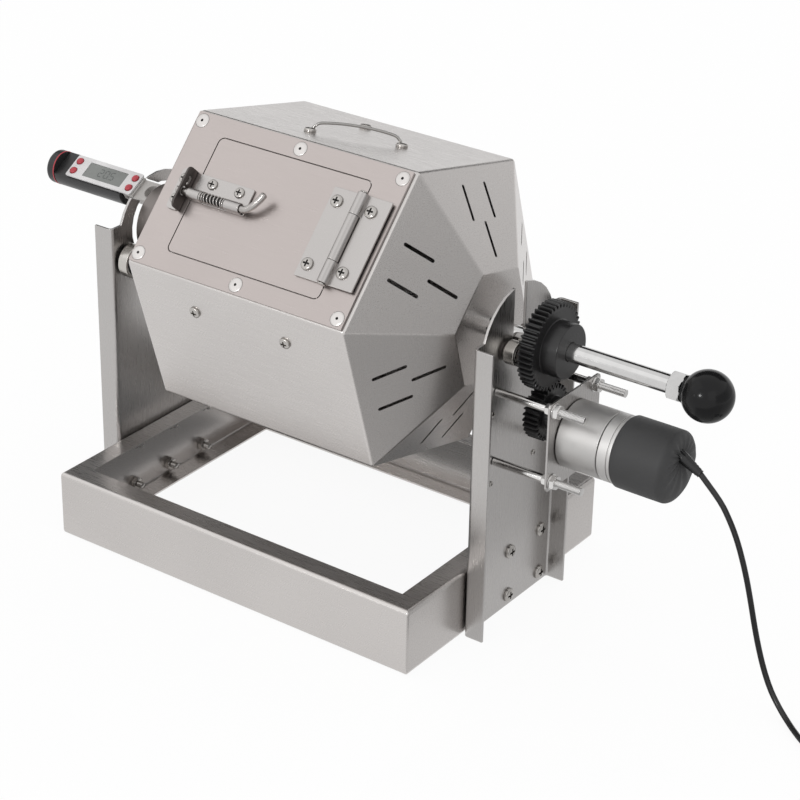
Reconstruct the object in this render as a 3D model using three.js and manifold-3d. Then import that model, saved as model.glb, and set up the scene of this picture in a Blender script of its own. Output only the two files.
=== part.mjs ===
// A home coffee bean roaster: a six-sided drum that turns on a shaft between two uprights on a base frame.
// A small gear motor drives it, and a pen thermometer reaches into it through the open neck on the left.
// Millimetres and degrees. X runs along the drum's shaft towards the motor, Y to the back and Z up.

import * as THREE from "three";
import { mergeVertices } from "three/addons/utils/BufferGeometryUtils.js";
import Module from "manifold-3d";

// Clearances that several pieces share
const seat_gap = 0.3; // between pieces that rest on, or are fastened to, each other
const running_gap = 0.3; // around pieces that turn or slide in each other
const overrun = 5; // how far a cutter reaches past what it cuts
const sink = 0.8; // how far joined shapes reach into each other

// Smoothness
const round_sides = 24;
const small_sides = 12;
const wire_sides = 8;
const spring_sides = 5;
const bend_steps = 2;
const bow_steps = 28;
const latch_tip_steps = 14;

// Base frame: four channels of folded sheet, open to the inside, mitred at the corners
const base_length = 240;
const base_depth = 180;
const base_height = 39;
const base_lip = 13;
const base_sheet = 1.2;
const base_bend = 2.6;

// Uprights: flanged channels on the outside of the base's short sides, with a round top
const upright_width = 80;
const upright_flange = 12;
const upright_sheet = 1.5;
const upright_bend = 2.8;
const upright_flange_top = 168.5;
const crown_radius = 33.4;
const crown_drop = 4.5; // the round top's centre, below the drum's axis
const window_radius = 22.6;
const notch_width = 12.6; // slanting mouth of the left window, open to the front and the top
const notch_rise = 29;

// Drum: a six-sided shell with two tapered ends
const axis_height = 161.5;
const left_room = 25.5; // from the base's left edge to the drum's left end
const right_room = 15.5; // from the drum's right end to the base's right edge
const hex_radius = 90;
const drum_sheet = 1.2;
const taper_length = 29.5;
const drum_length = base_length - left_room - right_room - 2 * taper_length;
const drum_offset = (left_room - right_room) / 2; // the shell's middle, from the base's middle
const end_hex_radius = 34.2;
const door_face_angle = 137; // the door face's outward direction, from +Y towards +Z
const slot_length = 19.5;
const slot_width = 2;
const slot_from_rim = 9.5;
const slot_spacing = 10;
const slot_step = 20.3; // the middle slot, further in than its neighbours

// Neck and drive shaft
const neck_radius = 21.5;
const neck_wall = 1.5;
const neck_inside = 2;
const shaft_radius = 5;
const shaft_flange_radius = 15;
const shaft_flange_thickness = 3;

// Rollers: ball bearings on short bolts, two under the neck and two under the shaft
const neck_roller_radius = 9.5;
const shaft_roller_radius = 6.5;
const roller_width = 6;
const neck_roller_angle = 27; // below the level, on both sides
const shaft_roller_angle = 20;
const roller_bolt_radius = 2.8;
const roller_bolt_head = 4.6;
const roller_head_height = 3;
const roller_spacer = 1.2;
const roller_nut = 4;

// Door frame plate and door
const plate_sheet = 1.5;
const plate_length = drum_length - 1.6;
const plate_width = 88;
const door_length = plate_length - 40.4;
const door_width = 66;
const door_corner = 3;
const door_play = 0.5;
const door_ledge = 4.5;

// Butt hinge on the door's right edge
const hinge_length = 50;
const hinge_inset = 0.5; // the pin's axis, outside the door's edge
const hinge_leaf = 1.2;
const hinge_knuckle = 3;
const hinge_pin_radius = 1.3;
const hinge_door_reach = 19;
const hinge_frame_reach = 17.5;
const hinge_middle = 25.4;
const hinge_pin_cap = 0.8;

// Spring bolt on the door and its keeper on the frame plate, measured from the drum's middle
const latch_line = -1.5; // the bolt's line, across the door face
const latch_height = 4.3; // the bolt's axis, above the door
const latch_bolt_radius = 1.55;
const latch_reach = 1.8; // of the bolt past the rear barrel
const barrel_radius = 2.7;
const front_barrel = 8;
const rear_barrel = 9.8;
const latch_plate_length = 31.6;
const latch_plate_top = 9.5;
const latch_plate_sheet = 1;
const latch_collar_radius = 2.7;
const latch_collar = 1;
const latch_nose = 3; // past the keeper
const latch_handle_rise = 12;
const latch_handle_lean = 6.2;
const latch_handle_lift = 3.2;
const latch_bend = 3.2;
const spring_wire = 0.8;
const spring_curls = 6.5;
const keeper_gap = 3.4; // between the front barrel and the keeper
const keeper_sheet = 1.2;
const keeper_width = 23.4;
const keeper_height = 8.4;
const keeper_foot = 9;
const keeper_slot_length = 5;
const keeper_slot_width = 2.4;
const keeper_slot_line = 2.2;

// Bow handle of wire on the top face, from one of its screws to another
const bow_wire = 0.75;
const bow_height = 5.5;
const bow_start_back = 14;
const bow_start_up = -22.5;
const bow_end_ahead = 27.5;
const bow_end_up = 1;

// Stirring vanes inside the drum
const vane_length = drum_length - 24;
const vane_height = 17;
const vane_foot = 12;
const vane_sheet = 1.2;
const vane_line = 24.7; // the foot's screws, from the face's middle

// Gears
const gear_radius = 22.5; // at its pitch circle
const gear_teeth = 45;
const pinion_teeth = 29;
const gear_module = (2 * gear_radius) / gear_teeth;
const pressure_angle = 20;
const gear_width = 8.5;
const gear_from_web = 13.6;
const gear_backlash = 0.2;
const addendum_share = 1;
const dedendum_share = 1.25;
const tooth_share = 0.86; // tooth thickness, of half the pitch
const gear_hub_radius = 14.6;
const gear_hub_length = 9.1;
const pinion_hub_radius = 9;
const motor_shaft_radius = 3;

// Hex nut and ball knob at the shaft's end
const nut_from_gear = 59;
const nut_flats = 14;
const nut_length = 7.5;
const knob_radius = 13.4;
const knob_neck_radius = 7.3;
const knob_neck = 1.3;
const knob_socket = 8; // how far the shaft goes on behind the nut

// Motor on a plate that stands off the right upright on four rods
const motor_drop = 44.5; // the motor's axis, below the drum's
const motor_plate_gap = 34.2; // from the upright's web
const motor_plate_sheet = 1.2;
const motor_plate_width = 48;
const motor_plate_height = 50;
const motor_plate_hole = 7.5;
const rod_radius = 2.3;
const rod_inset = 4.8;
const rod_nut_flats = 7;
const rod_nut_length = 3.2;
const rod_tail = 15;
const gearbox_radius = 18.2;
const gearbox_length = 24;
const gearbox_boss_radius = 6;
const gearbox_boss_length = 5;
const motor_ring_length = 7.7;
const motor_can_radius = 17.2;
const motor_can_length = 20;
const boot_radius = 19.3;
const boot_wall = 1.8;
const boot_length = 32.2;
const boot_shoulder = 6;
const boot_crown_share = 0.3; // flat middle of the boot's end, of its radius
const boot_end_steps = 5;

// Thermometer
const probe_back = 5; // the probe's axis, from the drum's
const probe_up = 10.7;
const probe_radius = 1.75;
const probe_length = 145;
const probe_tip = 7;
const thermometer_tilt = 31;
const thermometer_radius = 9.7;
const thermometer_length = 50.2;
const thermometer_cap = 6.3;
const thermometer_cap_edge = 2.4;
const thermometer_flat = 4.8;
const tab_length = 25;
const tab_width = 13.4;
const tab_thickness = 5;
const tab_step = 1.6; // the tab's open stretch, below the face plate
const tab_hole = 4.4;
const tab_hole_inset = 8.1;
const face_length = 48.9;
const face_width = 15.2;
const face_sheet = 1.2;
const face_over_tab = 7.3;
const button_radius = 2.1;
const button_height = 1.3;
const button_travel = 0.6;
const button_inset = 3.5;
const button_spread = 3.5;
const bracket_width = 12;
const bracket_sheet = 0.8;
const bracket_lap = 5;

// Mains lead, its gland, coil, tie and plug
const cord_radius = 1.5;
const cord_sides = 8;
const cord_steps = 24;
const gland_length = 22;
const gland_base_radius = 3.4;
const gland_tip_radius = 2.2;
const gland_tilt = 29; // down from the level
const gland_up = 11.6; // its inner end, above the motor's axis
const gland_inside = 11;
const coil_sides = 6;
const coil_loop_steps = 24;
const coil_layer_steps = 95; // in each of its two layers
const coil_inner_radius = 11;
const coil_pitch = 3.6;
const coil_entry_angle = 258;
const coil_tail = 26; // straight end that takes the plug clear of the coil
const tie_width = 5;
const tie_sheet = 0.9;
const plug_length = 34;
const plug_width = 26;
const plug_thickness = 13;
const plug_nose_share = 0.62;
const plug_corner = 3;
const pin_radius = 2.2;
const pin_length = 18;
const pin_spacing = 19;
// The lead's free stretch, from the gland's tip to the coil, as points chosen by hand
const lead_points = [
  [243.4, 0, 106.8],
  [249.2, 0, 98.8],
  [254.2, 0, 89.6],
  [258.4, 0, 79.4],
  [262.2, 0, 68.2],
  [265.6, 0, 56.2],
  [268.9, -0.1, 44],
  [272.6, -0.3, 32],
  [277, -0.8, 20.8],
  [282.4, -1.8, 11.2],
  [289, -4.2, 5],
  [296.2, -8.6, 2.2],
  [303.3, -14.2, 1.8],
  [310.8, -19.6, 1.8],
  [319, -23.8, 2],
  [328, -26.6, 2.3],
];

const wasm = await Module();
wasm.setup();

// Turns a closed geometry into a solid that can be cut and joined.
function solid(geometry) {
  const bare = new THREE.BufferGeometry();
  bare.setAttribute("position", geometry.getAttribute("position"));
  if (geometry.index) bare.setIndex(geometry.index);
  const merged = mergeVertices(bare);
  return new wasm.Manifold(
    new wasm.Mesh({
      numProp: 3,
      vertProperties: new Float32Array(merged.attributes.position.array),
      triVerts: new Uint32Array(merged.index.array),
    }),
  );
}

// Turns a solid back into a geometry with flat shading.
function geometryOf(made) {
  const mesh = made.getMesh();
  const geometry = new THREE.BufferGeometry();
  geometry.setAttribute("position", new THREE.BufferAttribute(mesh.vertProperties.slice(), 3));
  geometry.setIndex(new THREE.BufferAttribute(mesh.triVerts.slice(), 1));
  const flat = geometry.toNonIndexed();
  flat.computeVertexNormals();
  return flat;
}

const join = (first, ...others) =>
  geometryOf(others.reduce((sum, one) => sum.add(solid(one)), solid(first)));
const cut = (first, ...others) =>
  geometryOf(others.reduce((rest, one) => rest.subtract(solid(one)), solid(first)));

const radians = (degrees) => THREE.MathUtils.degToRad(degrees);
const point = (x, y) => new THREE.Vector2(x, y);

// A block between two opposite corners.
function block([x0, y0, z0], [x1, y1, z1]) {
  const geometry = new THREE.BoxGeometry(x1 - x0, y1 - y0, z1 - z0);
  return geometry.translate((x0 + x1) / 2, (y0 + y1) / 2, (z0 + z1) / 2);
}

// A solid turned about the X axis from pairs of place and radius: each profile is closed by its first pair.
function turned(profile, sides = round_sides) {
  const points = profile.map(([x, r]) => point(r, x));
  const closed = points.every((p) => p.x > 0) ? [...points, points[0].clone()] : points;
  return new THREE.LatheGeometry(closed, sides).rotateZ(-Math.PI / 2);
}

const rod = (x0, x1, radius, sides = round_sides) =>
  turned([[x0, 0], [x0, radius], [x1, radius], [x1, 0]], sides);
const ring = (x0, x1, outer, inner, sides = round_sides) =>
  turned([[x0, inner], [x0, outer], [x1, outer], [x1, inner]], sides);

// An outline in the Y-Z plane, carried along X.
function acrossX(shape, x0, x1, curveSegments = bend_steps) {
  const geometry = new THREE.ExtrudeGeometry(shape, { depth: x1 - x0, bevelEnabled: false, curveSegments });
  const turn = new THREE.Matrix4().makeBasis(
    new THREE.Vector3(0, 1, 0),
    new THREE.Vector3(0, 0, 1),
    new THREE.Vector3(1, 0, 0),
  );
  return geometry.applyMatrix4(turn).translate(x0, 0, 0);
}

// An outline in the X-Y plane, carried along Z.
function alongZ(shape, z0, z1, curveSegments = bend_steps) {
  const geometry = new THREE.ExtrudeGeometry(shape, { depth: z1 - z0, bevelEnabled: false, curveSegments });
  return geometry.translate(0, 0, z0);
}

// A regular six-sided prism along X, across its corners.
const hexPrism = (x0, x1, corner) =>
  new THREE.CylinderGeometry(corner, corner, x1 - x0, 6)
    .rotateZ(-Math.PI / 2)
    .translate((x0 + x1) / 2, 0, 0);
const acrossFlats = (flats) => flats / 2 / Math.cos(Math.PI / 6);

// A rectangle with round corners, about a centre.
function roundedShape(cx, cy, length, width, corner) {
  const [x, y] = [cx - length / 2, cy - width / 2];
  const shape = new THREE.Shape();
  shape.moveTo(x + corner, y);
  shape.lineTo(x + length - corner, y);
  shape.absarc(x + length - corner, y + corner, corner, -Math.PI / 2, 0);
  shape.lineTo(x + length, y + width - corner);
  shape.absarc(x + length - corner, y + width - corner, corner, 0, Math.PI / 2);
  shape.lineTo(x + corner, y + width);
  shape.absarc(x + corner, y + width - corner, corner, Math.PI / 2, Math.PI);
  shape.lineTo(x, y + corner);
  shape.absarc(x + corner, y + corner, corner, Math.PI, 1.5 * Math.PI);
  return shape;
}

function circleShape(cx, cy, radius, sides = small_sides) {
  const corner = (i) => (2 * Math.PI * (i + 0.5)) / sides;
  const points = Array.from({ length: sides }, (_, i) =>
    point(cx + radius * Math.cos(corner(i)), cy + radius * Math.sin(corner(i))),
  );
  return new THREE.Shape(points);
}

// A slot with round ends, about the origin.
function slotShape(length, radius) {
  const half = length / 2 - radius;
  const shape = new THREE.Shape();
  shape.absarc(half, 0, radius, -Math.PI / 2, Math.PI / 2);
  shape.absarc(-half, 0, radius, Math.PI / 2, 1.5 * Math.PI);
  return shape;
}

// A round bar or tube section carried along a curve.
function alongCurve(curve, radius, sides, steps) {
  const section = new THREE.Shape();
  for (let i = 0; i < sides; i++) {
    const a = (2 * Math.PI * i) / sides;
    if (i) section.lineTo(radius * Math.cos(a), radius * Math.sin(a));
    else section.moveTo(radius, 0);
  }
  return new THREE.ExtrudeGeometry(section, { steps, extrudePath: curve, bevelEnabled: false });
}

// An unbroken tube through a list of centre points, with a normal worked out from a fixed side direction.
function tubeThrough(centres, radius, sides, side) {
  const positions = [];
  centres.forEach((c, i) => {
    const before = centres[Math.max(i - 1, 0)];
    const after = centres[Math.min(i + 1, centres.length - 1)];
    const ahead = after.clone().sub(before).normalize();
    const u = new THREE.Vector3().crossVectors(side(i), ahead).normalize();
    const v = new THREE.Vector3().crossVectors(ahead, u);
    for (let k = 0; k < sides; k++) {
      const a = (2 * Math.PI * k) / sides;
      const p = c.clone().addScaledVector(u, radius * Math.cos(a)).addScaledVector(v, radius * Math.sin(a));
      positions.push(p.x, p.y, p.z);
    }
  });
  const index = [];
  const last = (centres.length - 1) * sides;
  for (let i = 0; i < centres.length - 1; i++) {
    for (let k = 0; k < sides; k++) {
      const [a, b] = [i * sides + k, i * sides + ((k + 1) % sides)];
      index.push(a, b, b + sides, a, b + sides, a + sides);
    }
  }
  for (let k = 1; k < sides - 1; k++) {
    index.push(0, k + 1, k);
    index.push(last, last + k, last + k + 1);
  }
  const geometry = new THREE.BufferGeometry();
  geometry.setAttribute("position", new THREE.Float32BufferAttribute(positions, 3));
  geometry.setIndex(index);
  return geometry;
}

// The least gap between parts of a tube that lie more than some steps apart along it.
function leastSelfGap(centres, radius, apart) {
  let least = Infinity;
  for (let i = 0; i < centres.length; i++)
    for (let j = i + apart; j < centres.length; j++)
      least = Math.min(least, centres[i].distanceTo(centres[j]));
  return least - 2 * radius;
}

// Materials
const finish = (color, roughness, metalness) =>
  new THREE.MeshStandardMaterial({ color, roughness, metalness });
const brushed_steel = finish(0xc4beba, 0.38, 0.85);
const bright_steel = finish(0xd2d0ce, 0.18, 1);
const dark_steel = finish(0x6f6c6a, 0.35, 0.9);
const black_nylon = finish(0x2a2a2c, 0.55, 0);
const black_gloss = finish(0x1c1c1e, 0.25, 0);
const black_rubber = finish(0x333335, 0.7, 0);
const cast_alloy = finish(0xc9c8c6, 0.45, 0.8);
const red_rubber = finish(0xb8323a, 0.5, 0);
const white_face = finish(0xe6e4e2, 0.4, 0);
const grey_plastic = finish(0xb9b2ac, 0.5, 0);
const bearing_steel = finish(0x9b9895, 0.25, 1);

const roaster = new THREE.Group();

function add(parent, name, geometry, material) {
  const mesh = new THREE.Mesh(geometry, material);
  mesh.name = name;
  parent.add(mesh);
  return mesh;
}

function group(parent, x = 0, y = 0, z = 0) {
  const made = new THREE.Group();
  made.position.set(x, y, z);
  parent.add(made);
  return made;
}

// Places along X that several pieces share
const web_inner = base_length / 2 + seat_gap;
const web_outer = web_inner + upright_sheet;
const drum_left = drum_offset - drum_length / 2;
const drum_right = drum_offset + drum_length / 2;
const left_end = drum_left - taper_length;
const right_end = drum_right + taper_length;
const hex_apothem = hex_radius * Math.cos(Math.PI / 6);
const end_apothem = end_hex_radius * Math.cos(Math.PI / 6);
const taper_run = hex_apothem - end_apothem;
const taper_slant = Math.hypot(taper_run, taper_length);
const gear_start = web_outer + gear_from_web;
const gear_end = gear_start + gear_width;
const nut_start = gear_end + gear_hub_length + nut_from_gear;
const knob_start = nut_start + nut_length + knob_neck;
const knob_centre = knob_start + Math.sqrt(knob_radius ** 2 - knob_neck_radius ** 2);
const bracket_start = -web_inner + seat_gap; // it lies on the left web's inner face
const tab_end = bracket_start - seat_gap;
const thermometer_end = tab_end - tab_length - thermometer_length - seat_gap - thermometer_cap;

// The whole model stands with the middle of its box over the origin.
const model = group(roaster, -(knob_centre + knob_radius + thermometer_end) / 2, 0, 0);

// Base frame
function baseRail(length) {
  const [t, r, h, lip] = [base_sheet, base_bend, base_height, base_lip];
  const section = new THREE.Shape();
  section.moveTo(lip, 0);
  section.lineTo(lip, t);
  section.lineTo(r, t);
  section.absarc(r, r, r - t, 1.5 * Math.PI, Math.PI, true);
  section.lineTo(t, h - r);
  section.absarc(r, h - r, r - t, Math.PI, Math.PI / 2, true);
  section.lineTo(lip, h - t);
  section.lineTo(lip, h);
  section.lineTo(r, h);
  section.absarc(r, h - r, r, Math.PI / 2, Math.PI);
  section.lineTo(0, r);
  section.absarc(r, r, r, Math.PI, 1.5 * Math.PI);
  const rail = acrossX(section, -length / 2, length / 2);
  const end = length / 2 - seat_gap;
  const mitre = new THREE.Shape([
    point(end + overrun, -overrun),
    point(end + 2 * overrun, -overrun),
    point(end + 2 * overrun, lip + overrun),
    point(end - lip - overrun, lip + overrun),
  ]);
  const right_mitre = alongZ(mitre, -overrun, h + overrun);
  const left_mitre = right_mitre.clone().rotateY(Math.PI).translate(0, 0, h);
  return cut(rail, right_mitre, left_mitre);
}
[
  ["base_front_rail", base_length, base_depth],
  ["base_right_rail", base_depth, base_length],
  ["base_back_rail", base_length, base_depth],
  ["base_left_rail", base_depth, base_length],
].forEach(([name, length, across], i) => {
  const turn = group(model);
  turn.rotation.z = (i * Math.PI) / 2;
  add(turn, name, baseRail(length), brushed_steel).position.y = -across / 2;
});

// Uprights, drawn for the right side with the web's inner face at X = 0
function uprightSheet() {
  const [t, r, f, w] = [upright_sheet, upright_bend, upright_flange, upright_width / 2];
  const section = new THREE.Shape();
  section.moveTo(f, w - t);
  section.lineTo(f, w);
  section.lineTo(r, w);
  section.absarc(r, w - r, r, Math.PI / 2, Math.PI);
  section.lineTo(0, r - w);
  section.absarc(r, r - w, r, Math.PI, 1.5 * Math.PI);
  section.lineTo(f, -w);
  section.lineTo(f, t - w);
  section.lineTo(r, t - w);
  section.absarc(r, r - w, r - t, 1.5 * Math.PI, Math.PI, true);
  section.lineTo(t, w - r);
  section.absarc(r, w - r, r - t, Math.PI, Math.PI / 2, true);
  const channel = alongZ(section, 0, upright_flange_top);
  const crown_centre = axis_height - crown_drop;
  const rise = upright_flange_top - crown_centre;
  const start = Math.asin(rise / crown_radius);
  const crown = new THREE.Shape();
  crown.moveTo(-crown_radius * Math.cos(start), upright_flange_top - sink);
  crown.lineTo(crown_radius * Math.cos(start), upright_flange_top - sink);
  crown.absarc(0, crown_centre, crown_radius, start, Math.PI - start);
  return join(channel, acrossX(crown, 0, t, round_sides / 4));
}

// The two places, from the axis, where a pair of rollers carries a round piece.
const shaft_rollers = { carried: shaft_radius, radius: shaft_roller_radius, angle: shaft_roller_angle };
const neck_rollers = { carried: neck_radius, radius: neck_roller_radius, angle: neck_roller_angle };
function rollerPlaces({ carried, radius, angle }) {
  const reach = carried + radius + running_gap;
  const [y, z] = [reach * Math.cos(radians(angle)), -reach * Math.sin(radians(angle))];
  return [[-y, z], [y, z]];
}

function boltHoles(rollers) {
  return rollerPlaces(rollers).map(([y, z]) =>
    acrossX(
      circleShape(y, axis_height + z, roller_bolt_radius + seat_gap),
      -overrun,
      upright_sheet + overrun,
    ),
  );
}

function slotCutter() {
  const half = shaft_radius + seat_gap;
  const slot = new THREE.Shape();
  slot.absarc(0, axis_height, half, Math.PI, 2 * Math.PI);
  slot.lineTo(half, axis_height + crown_radius + overrun);
  slot.lineTo(-half, axis_height + crown_radius + overrun);
  return acrossX(slot, -overrun, upright_sheet + overrun, small_sides / 4);
}
function windowCutter() {
  const round = circleShape(0, axis_height, window_radius, round_sides);
  return acrossX(round, -overrun, upright_sheet + overrun);
}

// The left window's mouth, in line with the thermometer's tab: this side is drawn half a turn round.
function notchCutter() {
  const [rise, tilt] = [radians(notch_rise), radians(thermometer_tilt)];
  const tab_top = thermometer_flat - tab_step;
  const [back, up] = [probe_back - tab_top * Math.sin(tilt), probe_up + tab_top * Math.cos(tilt)];
  const middle = back * Math.sin(rise) + up * Math.cos(rise);
  return block(
    [-overrun, 0, middle - notch_width / 2],
    [upright_sheet + overrun, crown_radius + overrun, middle + notch_width / 2],
  )
    .rotateX(rise)
    .translate(0, 0, axis_height);
}
add(
  group(model, web_inner),
  "right_upright",
  cut(uprightSheet(), slotCutter(), ...boltHoles(shaft_rollers)),
  brushed_steel,
);
const left_side = group(model, -web_inner);
left_side.rotation.z = Math.PI;
add(
  left_side,
  "left_upright",
  cut(uprightSheet(), windowCutter(), notchCutter(), ...boltHoles(neck_rollers)),
  brushed_steel,
);

// Rollers and their bolts: the neck's pair runs inside the left web, the shaft's pair outside the right one.
function rollerBolt() {
  const near = seat_gap;
  const far = near + roller_spacer + 2 * running_gap + roller_width;
  const nut_near = near - upright_sheet - 2 * seat_gap;
  const shank = rod(nut_near - roller_nut, far + sink, roller_bolt_radius, small_sides);
  const spacer = rod(near, near + roller_spacer, roller_bolt_head, small_sides);
  const head = hexPrism(far, far + roller_head_height, roller_bolt_head);
  const nut = hexPrism(nut_near - roller_nut, nut_near, roller_bolt_head + sink);
  return join(shank, spacer, head, nut);
}
const roller_start = seat_gap + roller_spacer + running_gap;
const rollerRing = (radius) =>
  ring(roller_start, roller_start + roller_width, radius, roller_bolt_radius + running_gap);
[
  ["shaft", shaft_rollers, web_outer],
  ["neck", neck_rollers, -web_inner],
].forEach(([carried, rollers, face]) => {
  rollerPlaces(rollers).forEach(([y, z], i) => {
    const place = group(model, face, y, axis_height + z);
    const side = i ? "back" : "front";
    add(place, carried + "_roller_" + side, rollerRing(rollers.radius), bearing_steel);
    add(place, carried + "_roller_bolt_" + side, rollerBolt(), dark_steel);
  });
});

// Drum: everything on it is placed from the shaft's axis.
const drum = group(model, 0, 0, axis_height);

// A face's own frame: X along the drum, Y up the face, Z outwards from its surface.
function faceFrame(step, height = 0) {
  const turn = group(drum, drum_offset);
  turn.rotation.x = radians(door_face_angle - 90 + 60 * step);
  return group(turn, 0, 0, hex_apothem + height);
}

function placedOnDrum(geometry, frame) {
  frame.updateWorldMatrix(true, false);
  drum.updateWorldMatrix(true, false);
  const local = drum.matrixWorld.clone().invert().multiply(frame.matrixWorld);
  return geometry.clone().applyMatrix4(local);
}

function hexShape(corner) {
  const shape = new THREE.Shape();
  for (let k = 0; k < 6; k++) {
    const a = radians(door_face_angle + 30 + 60 * k);
    if (k) shape.lineTo(corner * Math.cos(a), corner * Math.sin(a));
    else shape.moveTo(corner * Math.cos(a), corner * Math.sin(a));
  }
  return shape;
}

function drumShell() {
  const outer = hexShape(hex_radius);
  outer.holes.push(hexShape(hex_radius - drum_sheet / Math.cos(Math.PI / 6)));
  const shell = acrossX(outer, drum_left + seat_gap, drum_right - seat_gap);
  const mouth = roundedShape(0, 0, door_length - 2 * door_ledge, door_width - 2 * door_ledge, door_corner);
  const mouth_cutter = alongZ(mouth, -drum_sheet - overrun, overrun, 2 * bend_steps);
  return cut(shell, placedOnDrum(mouth_cutter, faceFrame(0)));
}
add(drum, "drum_shell", drumShell(), brushed_steel);

// A tapered end, drawn with its wide rim at X = 0 and its end plate towards +X.
function taperedEnd(opening) {
  const frustum = new THREE.CylinderGeometry(end_hex_radius, hex_radius, taper_length, 6)
    .rotateZ(-Math.PI / 2)
    .translate(taper_length / 2, 0, 0);
  const shift = (drum_sheet * taper_slant) / taper_run;
  const hollow = frustum.clone().translate(-shift, 0, 0);
  const back = hexPrism(-shift - overrun, -shift + sink / 2, hex_radius);
  const hole = rod(taper_length - overrun, taper_length + overrun, opening);
  const slots = [];
  for (let k = 0; k < 6; k++) {
    for (const [aside, inwards] of [[-1, 0], [1, 0], [0, 1]]) {
      const reach = slot_from_rim + inwards * slot_step + slot_length / 2;
      const cutter = alongZ(slotShape(slot_length, slot_width / 2), -overrun, overrun, 1)
        .rotateY(Math.atan2(taper_run, taper_length))
        .translate(0, aside * slot_spacing, 0)
        .translate((reach * taper_length) / taper_slant, 0, hex_apothem - (reach * taper_run) / taper_slant)
        .rotateX(radians(30 + 60 * k));
      slots.push(cutter);
    }
  }
  return cut(frustum, hollow, back, hole, ...slots);
}
const end_turn = radians(door_face_angle - 90 + 30); // brings a flat of the tapered ends behind the door
const right_taper = taperedEnd(shaft_radius + seat_gap).rotateX(end_turn);
add(group(drum, drum_right + seat_gap), "drum_right_end", right_taper, brushed_steel);
const left_taper = taperedEnd(neck_radius + seat_gap).rotateZ(Math.PI).rotateX(end_turn);
add(group(drum, drum_left - seat_gap), "drum_left_end", left_taper, brushed_steel);

const neck_start = bracket_start + bracket_sheet + 2 * running_gap;
add(
  drum,
  "drum_neck",
  ring(neck_start, left_end + neck_inside, neck_radius, neck_radius - neck_wall),
  dark_steel,
);
const flange_end = right_end - (drum_sheet * taper_slant) / taper_run;
add(
  drum,
  "drive_shaft",
  join(
    rod(flange_end - shaft_flange_thickness, nut_start + nut_length + knob_socket, shaft_radius),
    rod(flange_end - shaft_flange_thickness, flange_end, shaft_flange_radius),
  ),
  bright_steel,
);

// Door frame plate and door
const door_surface = seat_gap + plate_sheet;
function doorFramePlate() {
  const outline = roundedShape(0, 0, plate_length, plate_width, door_play);
  const play = 2 * door_play;
  outline.holes.push(roundedShape(0, 0, door_length + play, door_width + play, door_corner + door_play));
  return alongZ(outline, seat_gap, door_surface, 2 * bend_steps);
}
add(faceFrame(0), "door_frame_plate", doorFramePlate(), brushed_steel);
const door_outline = roundedShape(0, 0, door_length, door_width, door_corner);
const door_sheet = alongZ(door_outline, seat_gap, door_surface, 2 * bend_steps);
add(faceFrame(0), "door_panel", door_sheet, brushed_steel);

// Butt hinge: the frame leaf has the two end knuckles, and the door leaf the middle one.
const door_top = faceFrame(0, door_surface);
const hinge_x = door_length / 2 + hinge_inset;
const hinge_z = seat_gap + hinge_knuckle;
const alongY = (geometry) => geometry.rotateZ(Math.PI / 2);
function knuckle(y0, y1) {
  const tube = ring(y0, y1, hinge_knuckle, hinge_pin_radius + running_gap, small_sides);
  return alongY(tube).translate(hinge_x, 0, hinge_z);
}
const leaf_clear = hinge_knuckle + running_gap;
const leaf_top = seat_gap + hinge_leaf;
const middle_clear = hinge_middle / 2 + running_gap;
function frameLeaf() {
  const end = hinge_length / 2;
  const root = hinge_x + hinge_pin_radius + running_gap + sink / 2;
  const leaf = block([hinge_x + leaf_clear, -end, seat_gap], [hinge_x + hinge_frame_reach, end, leaf_top]);
  const roots = [[-end, -middle_clear], [middle_clear, end]].map(([y0, y1]) =>
    block([root, y0, seat_gap], [hinge_x + leaf_clear + sink, y1, leaf_top]),
  );
  return join(leaf, ...roots, knuckle(-end, -middle_clear), knuckle(middle_clear, end));
}
function doorLeaf() {
  const [end, middle] = [hinge_length / 2, hinge_middle / 2];
  const root = hinge_x - hinge_pin_radius - running_gap - sink / 2;
  const leaf = block([hinge_x - hinge_door_reach, -end, seat_gap], [hinge_x - leaf_clear, end, leaf_top]);
  const tongue = block([hinge_x - leaf_clear - sink, -middle, seat_gap], [root, middle, leaf_top]);
  return join(leaf, tongue, knuckle(-middle, middle));
}
add(door_top, "hinge_frame_leaf", frameLeaf(), bright_steel);
add(door_top, "hinge_door_leaf", doorLeaf(), bright_steel);
const pin_half = hinge_length / 2 + running_gap;
const hinge_pin = join(
  rod(-pin_half - sink, pin_half + sink, hinge_pin_radius, small_sides),
  rod(-pin_half - hinge_pin_cap, -pin_half, hinge_knuckle - sink, small_sides),
  rod(pin_half, pin_half + hinge_pin_cap, hinge_knuckle - sink, small_sides),
);
add(door_top, "hinge_pin", alongY(hinge_pin).translate(hinge_x, 0, hinge_z), dark_steel);

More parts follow.
